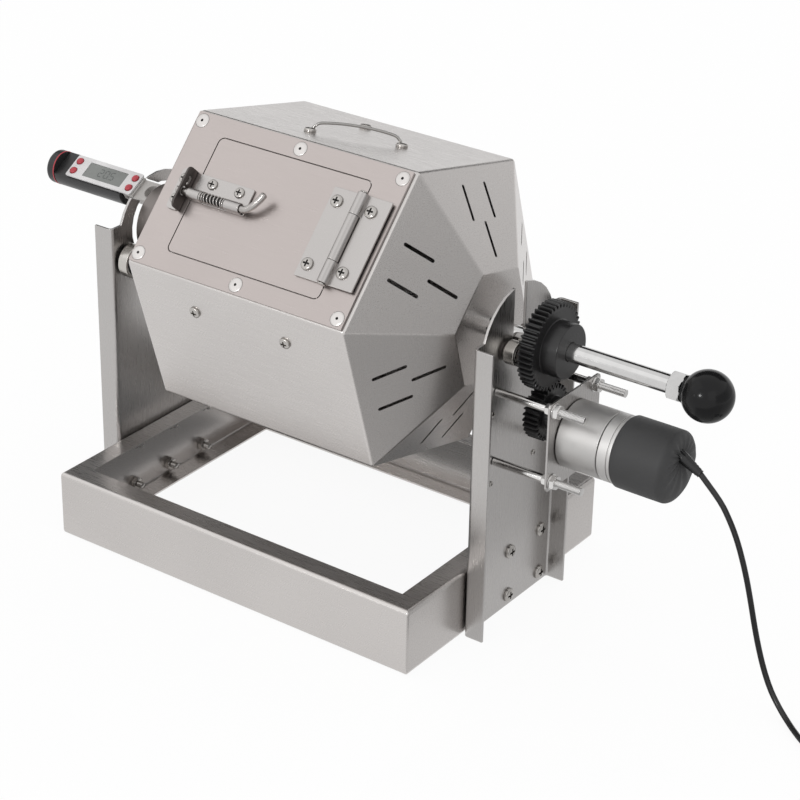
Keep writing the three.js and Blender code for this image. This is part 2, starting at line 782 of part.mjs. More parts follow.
// Spring bolt: a plate with two barrels on the door, a bolt with a bent handle, and a spring between its
// collar and the rear barrel
const front_barrel_start = -door_length / 2;
const front_barrel_end = front_barrel_start + front_barrel;
const rear_barrel_end = front_barrel_start + latch_plate_length + seat_gap;
const rear_barrel_start = rear_barrel_end - rear_barrel;
const keeper_x = front_barrel_start - keeper_gap;
const onLatchLine = (geometry) => geometry.translate(0, latch_line, latch_height);
function latchPlate() {
  const bore = latch_bolt_radius + running_gap;
  const low = latch_line - barrel_radius;
  const plate = block(
    [front_barrel_start, low, seat_gap],
    [rear_barrel_end, latch_plate_top, seat_gap + latch_plate_sheet],
  );
  const spans = [
    [front_barrel_start, front_barrel_end],
    [rear_barrel_start, rear_barrel_end],
  ];
  const barrels = spans.flatMap(([x0, x1]) => [
    onLatchLine(rod(x0, x1, barrel_radius, small_sides)),
    block([x0, low, seat_gap], [x1, low + latch_plate_sheet, latch_height]),
  ]);
  const [bore_start, bore_end] = [front_barrel_start - overrun, rear_barrel_end + overrun];
  const bore_cutter = onLatchLine(rod(bore_start, bore_end, bore, small_sides));
  return cut(join(plate, ...barrels), bore_cutter);
}
add(door_top, "latch_plate", latchPlate(), bright_steel);

const collar_start = front_barrel_end + running_gap;
const collar_end = collar_start + latch_collar;
function latchBolt() {
  const nose = keeper_x - keeper_sheet - latch_nose;
  const turn = rear_barrel_end + latch_reach;
  const handle = new THREE.CatmullRomCurve3(
    [
      [turn - latch_bend, 0, 0],
      [turn, 0, 0],
      [turn + latch_bend, latch_bend / 4, latch_handle_lift / 4],
      [turn + latch_handle_lean, latch_handle_rise / 2, latch_handle_lift / 2],
      [turn + latch_handle_lean + latch_bend / 2, latch_handle_rise, latch_handle_lift],
    ].map((p) => new THREE.Vector3(...p)),
  );
  const bar = rod(nose, turn - sink, latch_bolt_radius, small_sides);
  const tip = alongCurve(handle, latch_bolt_radius, wire_sides, latch_tip_steps);
  const collar = rod(collar_start, collar_end, latch_collar_radius, small_sides);
  return join(bar, tip, collar).translate(0, latch_line, latch_height);
}
add(door_top, "latch_bolt", latchBolt(), bright_steel);

// The spring's curls follow x = start + pitch * turns around the bolt, with straight square ends.
function latchSpring() {
  const start = collar_end + running_gap;
  const end = rear_barrel_start - running_gap;
  const radius = spring_wire / 2;
  const mean = latch_bolt_radius + running_gap + radius;
  const steps = Math.round(wire_sides * spring_curls);
  const straight = spring_wire;
  const length = end - start - 2 * straight;
  const centres = [new THREE.Vector3(start, mean, 0)];
  for (let i = 0; i <= steps; i++) {
    const a = (2 * Math.PI * spring_curls * i) / steps;
    const along = start + straight + (length * i) / steps;
    centres.push(new THREE.Vector3(along, mean * Math.cos(a), mean * Math.sin(a)));
  }
  const last = centres[centres.length - 1];
  centres.push(new THREE.Vector3(end, last.y, last.z));
  console.log("latch spring, least gap to itself", leastSelfGap(centres, radius, 6).toFixed(2), "mm");
  const outwards = (i) => new THREE.Vector3(0, centres[i].y, centres[i].z);
  return onLatchLine(tubeThrough(centres, radius, spring_sides, outwards));
}
add(door_top, "latch_spring", latchSpring(), bright_steel);

function latchKeeper() {
  const half = keeper_width / 2;
  const [x0, x1] = [keeper_x - keeper_sheet, keeper_x];
  const wall = block([x0, -half, seat_gap], [x1, half, keeper_height]);
  const foot = block([x1 - keeper_foot, -half, seat_gap], [x0 + sink / 2, half, seat_gap + keeper_sheet]);
  const slot = block(
    [x0 - overrun, keeper_slot_line, (keeper_height - keeper_slot_width) / 2],
    [x1 + overrun, keeper_slot_line + keeper_slot_length, (keeper_height + keeper_slot_width) / 2],
  );
  const eye = onLatchLine(rod(x0 - overrun, x1 + overrun, latch_bolt_radius + 2 * running_gap, small_sides));
  return cut(join(wall, foot), slot, eye);
}
add(door_top, "latch_keeper", latchKeeper(), dark_steel);

// Bow handle: a wire that rises steeply from one screw, arches and comes down at the other.
function bowHandle() {
  const feet = [
    new THREE.Vector3(-bow_start_back, bow_start_up, bow_wire + seat_gap),
    new THREE.Vector3(bow_end_ahead, bow_end_up, bow_wire + seat_gap),
  ];
  const along_shares = [0, 0.03, 0.1, 0.3, 0.5, 0.7, 0.9, 0.97, 1];
  const rise_shares = [0, 0.35, 0.72, 0.94, 1, 0.94, 0.72, 0.35, 0];
  const points = along_shares.map((share, i) => {
    const p = feet[0].clone().lerp(feet[1], share);
    p.z += bow_height * rise_shares[i];
    return p;
  });
  return alongCurve(new THREE.CatmullRomCurve3(points), bow_wire, wire_sides, bow_steps);
}
add(faceFrame(5), "bow_handle", bowHandle(), bright_steel);

// Stirring vanes: bent strips with a foot on the inside of every second face
function vane() {
  const foot_top = -drum_sheet - seat_gap;
  const half = vane_length / 2;
  const foot = block([-half, -vane_foot / 2, foot_top - vane_sheet], [half, vane_foot / 2, foot_top]);
  const fin_top = foot_top - vane_sheet + sink;
  const edge = vane_foot / 2;
  const fin = block([-half, edge - vane_sheet, foot_top - vane_height], [half, edge, fin_top]);
  return join(foot, fin).translate(0, vane_line, 0);
}
[1, 3, 5].forEach((face, i) => add(faceFrame(face), "vane_" + (i + 1), vane(), brushed_steel));

// Gears: straight flanks at the pressure angle, thinned for backlash
function gearShape(teeth, first_tooth) {
  const pitch_radius = (gear_module * teeth) / 2;
  const tip = pitch_radius + addendum_share * gear_module;
  const root = pitch_radius - dedendum_share * gear_module;
  const half = (tooth_share * Math.PI * gear_module) / 4;
  const slope = Math.tan(radians(pressure_angle));
  const at = (radius, middle, sign) => {
    const width = half + (pitch_radius - radius) * slope;
    const a = middle + (sign * width) / radius;
    return point(radius * Math.cos(a), radius * Math.sin(a));
  };
  const outline = [];
  for (let i = 0; i < teeth; i++) {
    const middle = first_tooth + (2 * Math.PI * i) / teeth;
    outline.push(at(root, middle, -1), at(tip, middle, -1), at(tip, middle, 1), at(root, middle, 1));
  }
  return new THREE.Shape(outline);
}
function boredGear(teeth, first_tooth, bore) {
  const shape = gearShape(teeth, first_tooth);
  shape.holes.push(circleShape(0, 0, bore));
  return acrossX(shape, gear_start, gear_end);
}
const gear_bore = shaft_radius + seat_gap;
add(
  drum,
  "drive_gear",
  join(
    boredGear(gear_teeth, -Math.PI / 2, gear_bore),
    ring(gear_end - sink, gear_end + gear_hub_length, gear_hub_radius, gear_bore),
  ),
  black_nylon,
);

// Hex nut and ball knob
function shaftNut() {
  const nut = hexPrism(nut_start, nut_start + nut_length, acrossFlats(nut_flats));
  return cut(nut, rod(nut_start - overrun, nut_start + nut_length + overrun, shaft_radius + seat_gap));
}
add(drum, "shaft_nut", shaftNut(), bright_steel);
function ballKnob() {
  const neck_angle = Math.asin(knob_neck_radius / knob_radius);
  const start = nut_start + nut_length + seat_gap;
  const bore = shaft_radius + seat_gap;
  const bore_end = nut_start + nut_length + knob_socket + seat_gap;
  const profile = [[bore_end, 0], [bore_end, bore], [start, bore], [start, knob_neck_radius]];
  const steps = round_sides / 3;
  for (let i = 0; i <= steps; i++) {
    const a = Math.PI - neck_angle - ((Math.PI - neck_angle) * i) / steps;
    profile.push([knob_centre + knob_radius * Math.cos(a), i < steps ? knob_radius * Math.sin(a) : 0]);
  }
  return turned(profile);
}
add(drum, "ball_knob", ballKnob(), black_gloss);

// Motor, placed from its own axis
const plate_start = web_outer + motor_plate_gap;
const plate_end = plate_start + motor_plate_sheet;
const motor = group(model, 0, 0, axis_height - motor_drop);
const pinion_distance = (gear_module * (gear_teeth + pinion_teeth)) / 2 + gear_backlash;
const pinion_up = motor_drop - pinion_distance; // the gearbox's shaft sits off its middle
const rod_y = motor_plate_width / 2 - rod_inset;
const rod_z = motor_plate_height / 2 - rod_inset;
function motorPlate() {
  const outline = roundedShape(0, 0, motor_plate_width, motor_plate_height, rod_inset / 2);
  outline.holes.push(circleShape(0, pinion_up, motor_plate_hole));
  for (const y of [-rod_y, rod_y])
    for (const z of [-rod_z, rod_z]) outline.holes.push(circleShape(y, z, rod_radius + seat_gap));
  return acrossX(outline, plate_start, plate_end);
}
add(motor, "motor_plate", motorPlate(), brushed_steel);
function standoffRod() {
  const nut_start_x = plate_end + seat_gap;
  const stop = rod_radius + 2 * seat_gap;
  return join(
    rod(web_outer + seat_gap, nut_start_x + rod_nut_length + rod_tail, rod_radius, small_sides),
    rod(plate_start - seat_gap - rod_nut_length, plate_start - seat_gap, stop, small_sides),
    hexPrism(nut_start_x, nut_start_x + rod_nut_length, acrossFlats(rod_nut_flats)),
  );
}
[
  ["standoff_rod_upper_front", -rod_y, rod_z],
  ["standoff_rod_upper_back", rod_y, rod_z],
  ["standoff_rod_lower_front", -rod_y, -rod_z],
  ["standoff_rod_lower_back", rod_y, -rod_z],
].forEach(([name, y, z]) => {
  add(group(motor, 0, y, z), name, standoffRod(), bright_steel);
});
const gearbox_start = plate_end + seat_gap;
const gearbox_end = gearbox_start + gearbox_length;
function gearboxBody() {
  const [bore, half] = [motor_shaft_radius + running_gap, gearbox_length / 2];
  const body = rod(gearbox_start, gearbox_end, gearbox_radius);
  const boss = rod(gearbox_start - gearbox_boss_length, gearbox_start + sink, gearbox_boss_radius);
  const hole = rod(gearbox_start - 2 * gearbox_boss_length, gearbox_start + half, bore);
  return cut(join(body, boss.translate(0, 0, pinion_up)), hole.translate(0, 0, pinion_up));
}
add(motor, "gearbox", gearboxBody(), cast_alloy);
const ring_start = gearbox_end + seat_gap;
const ring_end = ring_start + motor_ring_length;
const motor_ring = rod(ring_start, ring_end, gearbox_radius);
const motor_can = rod(ring_end - sink, ring_end + motor_can_length, motor_can_radius);
add(motor, "motor_can", join(motor_ring, motor_can), bright_steel);
const boot_start = ring_end + seat_gap;
const boot_end = boot_start + boot_length;
const gland_start = boot_end - gland_inside * Math.cos(radians(gland_tilt));
const gland_root = group(motor, gland_start, 0, gland_up);
gland_root.rotation.y = radians(gland_tilt);
const inGlandFrame = (geometry) => geometry.rotateY(radians(gland_tilt)).translate(gland_start, 0, gland_up);
function motorBoot() {
  const shoulder = boot_end - boot_shoulder;
  const bowl = (radius, depth) => {
    const profile = [[boot_start, 0], [boot_start, radius]];
    for (let i = 0; i <= boot_end_steps; i++) {
      const a = ((Math.PI / 2) * i) / boot_end_steps;
      const share = boot_crown_share + (1 - boot_crown_share) * Math.cos(a);
      profile.push([shoulder + depth * Math.sin(a), radius * share]);
    }
    profile.push([shoulder + depth, 0]);
    return turned(profile);
  };
  const outer = bowl(boot_radius, boot_shoulder);
  const inner = bowl(boot_radius - boot_wall, boot_shoulder - boot_wall);
  const mouth = rod(boot_start - overrun, boot_start + sink, boot_radius - boot_wall);
  const hole = rod(-overrun, gland_length, gland_base_radius + seat_gap);
  return cut(outer, inner, mouth, inGlandFrame(hole));
}
add(motor, "motor_boot", motorBoot(), black_rubber);

// Pinion on the gearbox's shaft
const pinion = group(motor, 0, 0, pinion_up);
const pinion_bore = motor_shaft_radius + seat_gap;
const pinion_hub_end = plate_start - 2 * seat_gap - rod_nut_length - gearbox_boss_length;
add(
  pinion,
  "pinion",
  join(
    boredGear(pinion_teeth, Math.PI / 2 + Math.PI / pinion_teeth, pinion_bore),
    ring(gear_end - sink, pinion_hub_end, pinion_hub_radius, pinion_bore),
  ),
  black_nylon,
);
const gearbox_shaft_end = gearbox_start + gearbox_length / 2 - seat_gap;
add(
  pinion,
  "gearbox_shaft",
  rod(gear_start, gearbox_shaft_end, motor_shaft_radius, small_sides),
  bright_steel,
);

// Thermometer, placed from its probe's axis, with its face towards +Z
const thermometer = group(model, 0, probe_back, axis_height + probe_up);
thermometer.rotation.x = radians(thermometer_tilt);
const tab_start = tab_end - tab_length;
const body_start = tab_start - thermometer_length;
const face_start = tab_start + face_over_tab - face_length;
const face_end = tab_start + face_over_tab;
const button_places = [face_start + button_inset, face_end - button_inset].flatMap((x) => [
  [x, button_spread],
  [x, -button_spread],
]);
const uprightPeg = (x, y, z0, z1, radius) =>
  rod(z0, z1, radius, small_sides).rotateY(-Math.PI / 2).translate(x, y, 0);
const pocket_floor = thermometer_flat - button_travel - running_gap;
const pockets = () =>
  button_places.map(([x, y]) =>
    uprightPeg(x, y, pocket_floor, thermometer_flat + overrun, button_radius + running_gap),
  );
function thermometerBody() {
  const barrel = rod(body_start, tab_start, thermometer_radius);
  const flat = block(
    [body_start - overrun, -thermometer_radius - overrun, thermometer_flat],
    [tab_start + overrun, thermometer_radius + overrun, thermometer_radius + overrun],
  );
  return cut(barrel, flat, ...pockets());
}
add(thermometer, "thermometer_body", thermometerBody(), black_nylon);
function thermometerCap() {
  const [x1, x0, r] = [body_start - seat_gap, body_start - seat_gap - thermometer_cap, thermometer_radius];
  const edge = thermometer_cap_edge;
  return turned([[x0, 0], [x0, r - edge], [x0 + edge / 3, r - edge / 3], [x0 + edge, r], [x1, r], [x1, 0]]);
}
add(thermometer, "thermometer_cap", thermometerCap(), black_nylon);
function thermometerTab() {
  const half = tab_width / 2;
  const open_top = thermometer_flat - tab_step;
  const start = tab_start + seat_gap;
  const open = alongZ(
    roundedShape((start + tab_end) / 2, 0, tab_end - start, tab_width, tab_step),
    open_top - tab_thickness,
    open_top,
    bend_steps,
  );
  const bed = block([start, -half, open_top - tab_thickness], [face_end, half, thermometer_flat]);
  const [low, high] = [open_top - tab_thickness - overrun, open_top + overrun];
  const hole = uprightPeg(tab_end - tab_hole_inset, 0, low, high, tab_hole);
  return cut(join(open, bed), hole, ...pockets());
}
add(thermometer, "thermometer_tab", thermometerTab(), grey_plastic);
function thermometerFace() {
  const outline = roundedShape((face_start + face_end) / 2, 0, face_length, face_width, button_radius / 2);
  for (const [x, y] of button_places) outline.holes.push(circleShape(x, y, button_radius + running_gap));
  return alongZ(outline, thermometer_flat + seat_gap, thermometer_flat + seat_gap + face_sheet);
}
add(thermometer, "thermometer_face", thermometerFace(), white_face);
const face_top = thermometer_flat + seat_gap + face_sheet;
["power", "unit", "hold", "memory"].forEach((use, i) => {
  const [x, y] = button_places[i];
  const bottom = pocket_floor + button_travel + running_gap / 2;
  const button = uprightPeg(x, y, bottom, face_top + button_height, button_radius);
  add(thermometer, use + "_button", button, red_rubber);
});
function thermometerProbe() {
  const start = tab_end + seat_gap;
  const end = start + probe_length;
  const tip = end - probe_tip;
  return turned(
    [[start, 0], [start, probe_radius], [tip, probe_radius], [end, probe_radius / 4], [end, 0]],
    small_sides,
  );
}
add(thermometer, "thermometer_probe", thermometerProbe(), bright_steel);

// Bracket across the back half of the left window, with a hole that the probe goes through
function thermometerBracket() {
  const front = probe_back - bracket_width / 2;
  const back = window_radius + bracket_lap;
  const height = axis_height + probe_up;
  const outline = roundedShape((front + back) / 2, height, back - front, bracket_width, bracket_sheet);
  outline.holes.push(circleShape(probe_back, height, probe_radius + running_gap));
  return acrossX(outline, bracket_start, bracket_start + bracket_sheet);
}
add(model, "thermometer_bracket", thermometerBracket(), brushed_steel);

// Mains lead
function gland() {
  const bore = cord_radius + seat_gap;
  return turned(
    [
      [0, bore],
      [0, gland_base_radius],
      [gland_inside + sink, gland_base_radius],
      [gland_length, gland_tip_radius],
      [gland_length, bore],
    ],
    small_sides,
  );
}
add(gland_root, "lead_gland", gland(), black_rubber);
gland_root.updateWorldMatrix(true, false);
model.updateWorldMatrix(true, false);
const toModel = model.matrixWorld.clone().invert().multiply(gland_root.matrixWorld);
const lead_start = [gland_inside, gland_length].map((x) => new THREE.Vector3(x, 0, 0).applyMatrix4(toModel));

// The coil's middle follows from where the lead's last point meets its outer turn.
const coil_outer_radius = coil_inner_radius + (coil_layer_steps * coil_pitch) / coil_loop_steps;
const entry = radians(coil_entry_angle);
const lead_end = new THREE.Vector3(...lead_points[lead_points.length - 1]);
const towards_coil = new THREE.Vector3(-Math.sin(entry), Math.cos(entry), 0);
const coil_height = tie_sheet + seat_gap + cord_radius; // the tie passes under it
const coil_straight = 2 * cord_radius;
const coil_start = lead_end.clone().addScaledVector(towards_coil, coil_straight);
coil_start.z = coil_height;
const coil_middle = coil_start
  .clone()
  .addScaledVector(towards_coil, coil_straight)
  .sub(new THREE.Vector3(Math.cos(entry), Math.sin(entry), 0).multiplyScalar(coil_outer_radius));

// Two layers: in at the bottom at a steady rate and out again on top. The climb takes the half turn where the
// spiral reverses, which goes on in for its first half.
function coilCentres() {
  const centres = [];
  const half_turn = coil_loop_steps / 2;
  const total = 2 * coil_layer_steps + half_turn;
  for (let i = 0; i <= total; i++) {
    const a = entry + (2 * Math.PI * i) / coil_loop_steps;
    const from_turning = Math.abs(i - total / 2) - half_turn / 2;
    const radius = coil_inner_radius + (coil_pitch * from_turning) / coil_loop_steps;
    const climb = THREE.MathUtils.clamp((i - coil_layer_steps) / half_turn, 0, 1);
    centres.push(
      new THREE.Vector3(radius * Math.cos(a), radius * Math.sin(a), coil_pitch * climb).add(coil_middle),
    );
  }
  const leave = centres[centres.length - 1].clone().sub(centres[centres.length - 2]).normalize();
  const before = centres[0].clone().addScaledVector(towards_coil, -coil_straight);
  const after = centres[centres.length - 1].clone().addScaledVector(leave, coil_tail);
  return { centres: [before, ...centres, after], leave };
}
const { centres: coil_centres, leave: coil_leave } = coilCentres();
const coil_gap = leastSelfGap(coil_centres, cord_radius, coil_loop_steps / 2);
console.log("lead coil, least gap to itself", coil_gap.toFixed(2), "mm");
const upwards = () => new THREE.Vector3(0, 0, 1);
add(model, "lead_coil", tubeThrough(coil_centres, cord_radius, coil_sides, upwards), black_rubber);

const coil_mouth = coil_centres[0].clone().addScaledVector(towards_coil, -seat_gap);
const lead_curve = new THREE.CatmullRomCurve3([
  ...lead_start,
  ...lead_points.map((p) => new THREE.Vector3(...p)),
  coil_mouth.clone().addScaledVector(towards_coil, -cord_radius / 2),
  coil_mouth,
]);
const lead_length = lead_curve.getLength();
const coil_length = new THREE.CatmullRomCurve3(coil_centres).getLength();
console.log("lead, free stretch and coil", lead_length.toFixed(0), coil_length.toFixed(0), "mm");
add(model, "lead", alongCurve(lead_curve, cord_radius, cord_sides, cord_steps), black_rubber);

// Tie around the coil, on the side away from the entry
function leadTie() {
  const inner = coil_inner_radius - coil_pitch / 4 - cord_radius - seat_gap;
  const outer = coil_outer_radius + cord_radius + seat_gap;
  const high = coil_height + coil_pitch + cord_radius + seat_gap;
  const half = tie_width / 2;
  const band = block([inner - tie_sheet, -half, 0], [outer + tie_sheet, half, high + tie_sheet]);
  const inside = block([inner, -half - overrun, tie_sheet], [outer, half + overrun, high]);
  return cut(band, inside);
}
const tie = group(model, coil_middle.x, coil_middle.y, 0);
tie.rotation.z = entry - Math.PI / 2;
add(tie, "lead_tie", leadTie(), black_nylon);

// Two-pin plug beside the coil
function plug() {
  const nose = plug_width * plug_nose_share;
  const body = new THREE.Shape([
    point(0, -nose / 2),
    point(plug_corner, -nose / 2 - plug_corner / 2),
    point(plug_length, -plug_width / 2),
    point(plug_length, plug_width / 2),
    point(plug_corner, nose / 2 + plug_corner / 2),
    point(0, nose / 2),
  ]);
  const half = plug_thickness / 2;
  const pins = [-pin_spacing / 2, pin_spacing / 2].map((y) =>
    rod(plug_length - sink, plug_length + pin_length, pin_radius, small_sides).translate(0, y, half),
  );
  return join(alongZ(body, 0, plug_thickness), ...pins);
}
const last_centre = coil_centres[coil_centres.length - 1];
const plug_start = last_centre.clone().addScaledVector(coil_leave, seat_gap);
const plug_place = group(model, plug_start.x, plug_start.y, 0);
plug_place.rotation.z = Math.atan2(coil_leave.y, coil_leave.x);
add(plug_place, "lead_plug", plug(), black_rubber);

export default roaster;
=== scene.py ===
"""A home coffee bean roaster: its looks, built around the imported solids.

A six-sided drum with a hinged door turns between two uprights on a base frame. Everything is in the frame of the
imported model: X along the drum's shaft towards the motor, Y to the back and Z up. Shapes and matrices are in
millimetres, and object_of makes them into objects in metres.
"""

import math

import bmesh
import bpy
import numpy as np
from bpy.props import FloatProperty, FloatVectorProperty, IntProperty, PointerProperty
from bpy.types import Operator, Panel, PropertyGroup
from mathutils import Matrix, Vector
from mathutils.geometry import tessellate_polygon


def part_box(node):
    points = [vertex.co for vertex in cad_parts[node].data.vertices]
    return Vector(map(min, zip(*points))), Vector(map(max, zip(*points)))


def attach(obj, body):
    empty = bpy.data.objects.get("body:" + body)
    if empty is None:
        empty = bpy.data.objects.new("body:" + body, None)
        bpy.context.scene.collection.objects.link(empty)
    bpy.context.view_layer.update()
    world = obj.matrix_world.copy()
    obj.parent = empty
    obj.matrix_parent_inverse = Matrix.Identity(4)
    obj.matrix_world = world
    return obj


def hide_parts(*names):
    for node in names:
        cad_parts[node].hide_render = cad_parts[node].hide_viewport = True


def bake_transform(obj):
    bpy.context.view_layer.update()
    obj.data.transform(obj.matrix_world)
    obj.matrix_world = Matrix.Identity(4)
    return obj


bl_info = {
    "name": "Coffee bean roaster",
    "version": (1, 0, 0),
    "blender": (4, 5, 0),
    "location": "3D View > Sidebar > Roaster",
    "description": "Builds a home coffee bean roaster around its packed solids, with its stage",
    "category": "Object",
}

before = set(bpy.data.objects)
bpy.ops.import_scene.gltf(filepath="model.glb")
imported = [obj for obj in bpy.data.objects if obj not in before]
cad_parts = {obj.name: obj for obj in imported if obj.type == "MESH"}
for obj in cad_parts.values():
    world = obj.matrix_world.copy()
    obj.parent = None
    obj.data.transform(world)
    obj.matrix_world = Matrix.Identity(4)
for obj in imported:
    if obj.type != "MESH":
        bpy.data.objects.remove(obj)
MM = 0.001
SIXTH = math.pi / 3
DOOR_TURN = math.radians(47)  # the door face's outward direction leans this far from the vertical, to the front
UPRIGHT = Matrix.Rotation(-math.pi / 2, 4, "Y")  # stands a shape that lies along X up along Z
SIDEWAYS = Matrix.Rotation(math.pi / 2, 4, "Z")  # lays it along Y
HEX_RADIUS, END_RADIUS = 90, 34.2  # the drum and its small end plates, from the middle to a corner
HEX_APOTHEM, END_APOTHEM = (radius * math.cos(SIXTH / 2) for radius in (HEX_RADIUS, END_RADIUS))
SHEET = 1.2  # thickness of the base frame's and the drum's sheet
WEB = 1.5  # thickness of the uprights' sheet
DOOR_SURFACE = 1.8  # outside of the door and its frame plate, above the drum's face
LOW = 0.3  # inner side of the sheets that lie on the drum or on the door, above it
LATCH_PLATE = 1.3  # outside of the latch's and the keeper's plates, above the door
DOOR_LEAF, FRAME_LEAF = (LOW, 1.5), (1.2, 2.3)  # inner and outer side of the hinge's leaves, above the door


def box(node):
    """Lowest and highest corner of a solid's box."""
    return [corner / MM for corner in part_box(node)]


def middle(node):
    """Middle of a solid's box."""
    low, high = box(node)
    return (low + high) / 2


def span(node, axis=0):
    """Lowest and highest place of a solid along X, Y or Z."""
    low, high = box(node)
    return low[axis], high[axis]


def size_x(node):
    """Length of a solid along X."""
    low, high = span(node)
    return high - low


# Places that several pieces share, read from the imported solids
AXIS_Z = middle("drive_shaft").z
STAND_X = middle("base_front_rail").x
DRUM_X = middle("drum_shell").x


def at(x=0.0, y=0.0, z=0.0):
    """Frame moved along the axes."""
    return Matrix.Translation((x, y, z))


def axes_at(origin, along, outwards):
    """Frame whose X axis runs along one direction and whose Z axis points outwards."""
    z = Vector(outwards).normalized()
    x = Vector(along).normalized()
    rows = Matrix((x, z.cross(x), z)).transposed().to_4x4()
    return at(*origin) @ rows


def face_axes(step, height=0.0):
    """Frame of one of the drum's six faces, counted from the door: X along the drum, Y up the face, Z outwards."""
    turn = Matrix.Rotation(DOOR_TURN + step * SIXTH, 4, "X")
    return at(DRUM_X, 0, AXIS_Z) @ turn @ at(z=HEX_APOTHEM + height)


# Shapes: each is a pair of an array of points and a list of faces


def placed(shape, matrix):
    """The shape moved by a matrix: every point is multiplied by it."""
    points, faces = shape
    m = np.array(matrix, float)
    return points @ m[:3, :3].T + m[:3, 3], faces


def moved(shape, x=0.0, y=0.0, z=0.0):
    """The shape moved along the axes."""
    return shape[0] + np.array((x, y, z)), shape[1]


def together(shapes):
    """Several shapes as one: the faces of each count on from the points before them."""
    points, faces, start = [], [], 0
    for p, f in shapes:
        points.append(p)
        faces += [[i + start for i in face] for face in f]
        start += len(p)
    return np.concatenate(points), faces


def around(sides, first=0.0):
    """Even angles of a whole turn."""
    return first + np.linspace(0, 2 * np.pi, sides, endpoint=False)


def heading(angle):
    """Unit vectors in the plane: the cosine and the sine of each angle."""
    return np.stack([np.cos(angle), np.sin(angle)], -1)


def about_x(x, across):
    """Rows of points at places along X, from their Y and Z values."""
    y, z = across
    return np.stack([np.broadcast_to(x[:, None], y.shape), y, z], -1)


def unit(vectors):
    """Vectors made one long. A vector of no length stays as it is."""
    return vectors / (np.linalg.norm(vectors, axis=-1, keepdims=True) + 1e-12)


def skin(grid, looped=False):
    """Faces over a grid of points with rows along and columns around. Each quad joins two rows and two columns,
    the last column joins the first, and an open run of rows gets a face at each end."""
    rows, cols = grid.shape[:2]
    i = np.arange(rows if looped else rows - 1)[:, None]
    j = np.arange(cols)[None, :]
    n, m = (i + 1) % rows, (j + 1) % cols
    quads = np.stack([i * cols + j, i * cols + m, n * cols + m, n * cols + j], -1)
    faces = quads.reshape(-1, 4).tolist()
    if not looped:
        faces.append(list(range(cols))[::-1])
        faces.append(list(range((rows - 1) * cols, rows * cols)))
    return grid.reshape(-1, 3), faces


def eased(corners, radius, steps=4, closed=False):
    """An outline whose corners are arcs that touch both sides. The arc's points are the two radii to its ends,
    mixed by sin((1 - t) turn) / sin(turn) and sin(t turn) / sin(turn)."""
    p = np.asarray(corners, float)
    r = np.broadcast_to(np.asarray(radius, float), len(p))[:, None]
    u, v = unit(np.roll(p, 1, 0) - p), unit(np.roll(p, -1, 0) - p)
    half = np.arccos(np.clip((u * v).sum(1), -1, 1))[:, None] / 2
    turn = np.maximum(np.pi - 2 * half, 1e-4)
    centre = p + unit(u + v) * r / np.sin(half)
    first, last = (p + side * r / np.tan(half) - centre for side in (u, v))
    t = np.linspace(0, 1, steps + 1)
    a, b = (np.sin(share * turn) / np.sin(turn) for share in (1 - t, t))
    arcs = centre[:, None] + first[:, None] * a[..., None] + last[:, None] * b[..., None]
    if closed:
        return arcs.reshape(-1, p.shape[1])
    return np.concatenate([p[:1], arcs[1:-1].reshape(-1, p.shape[1]), p[-1:]])


def turned(profile, sides=48, looped=False):
    """A profile of places along X and radii, turned about the X axis."""
    x, r = np.asarray(profile, float).T
    return skin(about_x(x, r[:, None] * heading(around(sides)).T[:, None]), looped)


def tube(x0, x1, outer, inner, ease=0.3, sides=48):
    """A ring about the X axis with eased edges."""
    return turned(eased([(x0, inner), (x0, outer), (x1, outer), (x1, inner)], ease, 3, True), sides, True)


def bar(x0, x1, radius, ease=0.3, sides=48):
    """A round bar about the X axis with eased ends."""
    return turned(eased([(x0, 0), (x0, radius), (x1, radius), (x1, 0)], ease, 4), sides)


def carried(path, section, side=(0, 0, 1)):
    """A closed section carried along a path. Its own axes are the side direction crossed with the path's
    direction, and the path's direction crossed with that."""
    p = np.asarray(path, float)
    ahead = unit(np.gradient(p, axis=0))
    u = unit(np.cross(np.broadcast_to(side, p.shape), ahead))
    v = np.cross(ahead, u)
    s = np.asarray(section, float)
    return skin(p[:, None] + u[:, None] * s[None, :, :1] + v[:, None] * s[None, :, 1:2])


def ring_of(radius, sides):
    """Points of a circle in the plane."""
    return radius * heading(around(sides))


def smooth_path(points, steps=8):
    """A path through points: between two of them it is the cubic whose slopes are half the step between their
    neighbours."""
    p = np.asarray(points, float)
    q = np.concatenate([2 * p[:1] - p[1:2], p, 2 * p[-1:] - p[-2:-1]])
    t = np.linspace(0, 1, steps, endpoint=False)[None, :, None]
    a, b, c, d = (q[i : len(q) - 3 + i, None] for i in range(4))
    curve = b + t * (c - a) / 2 + t**2 * (a - 2.5 * b + 2 * c - d / 2) + t**3 * (d - a + 3 * (b - c)) / 2
    return np.concatenate([curve.reshape(-1, p.shape[1]), p[-1:]])


def rounded(length, width, corner, steps=6, x=0.0, y=0.0):
    """A rectangle's outline about a centre, with round corners."""
    a, b = length / 2, width / 2
    return eased([(x - a, y - b), (x + a, y - b), (x + a, y + b), (x - a, y + b)], corner, steps, True)


def shrunk(outline, by):
    """An outline moved inwards: each point goes along the mean of its two edges' inward directions, divided by
    one plus their cosine."""
    p = np.asarray(outline, float)
    ahead = np.roll(p, -1, 0) - p
    area = (p[:, 0] * np.roll(p[:, 1], -1) - p[:, 1] * np.roll(p[:, 0], -1)).sum()
    normal = unit(np.stack([-ahead[:, 1], ahead[:, 0]], -1)) * np.sign(area)
    before = np.roll(normal, 1, 0)
    share = 1 + (normal * before).sum(1)
    return p + by * (normal + before) / share[:, None]


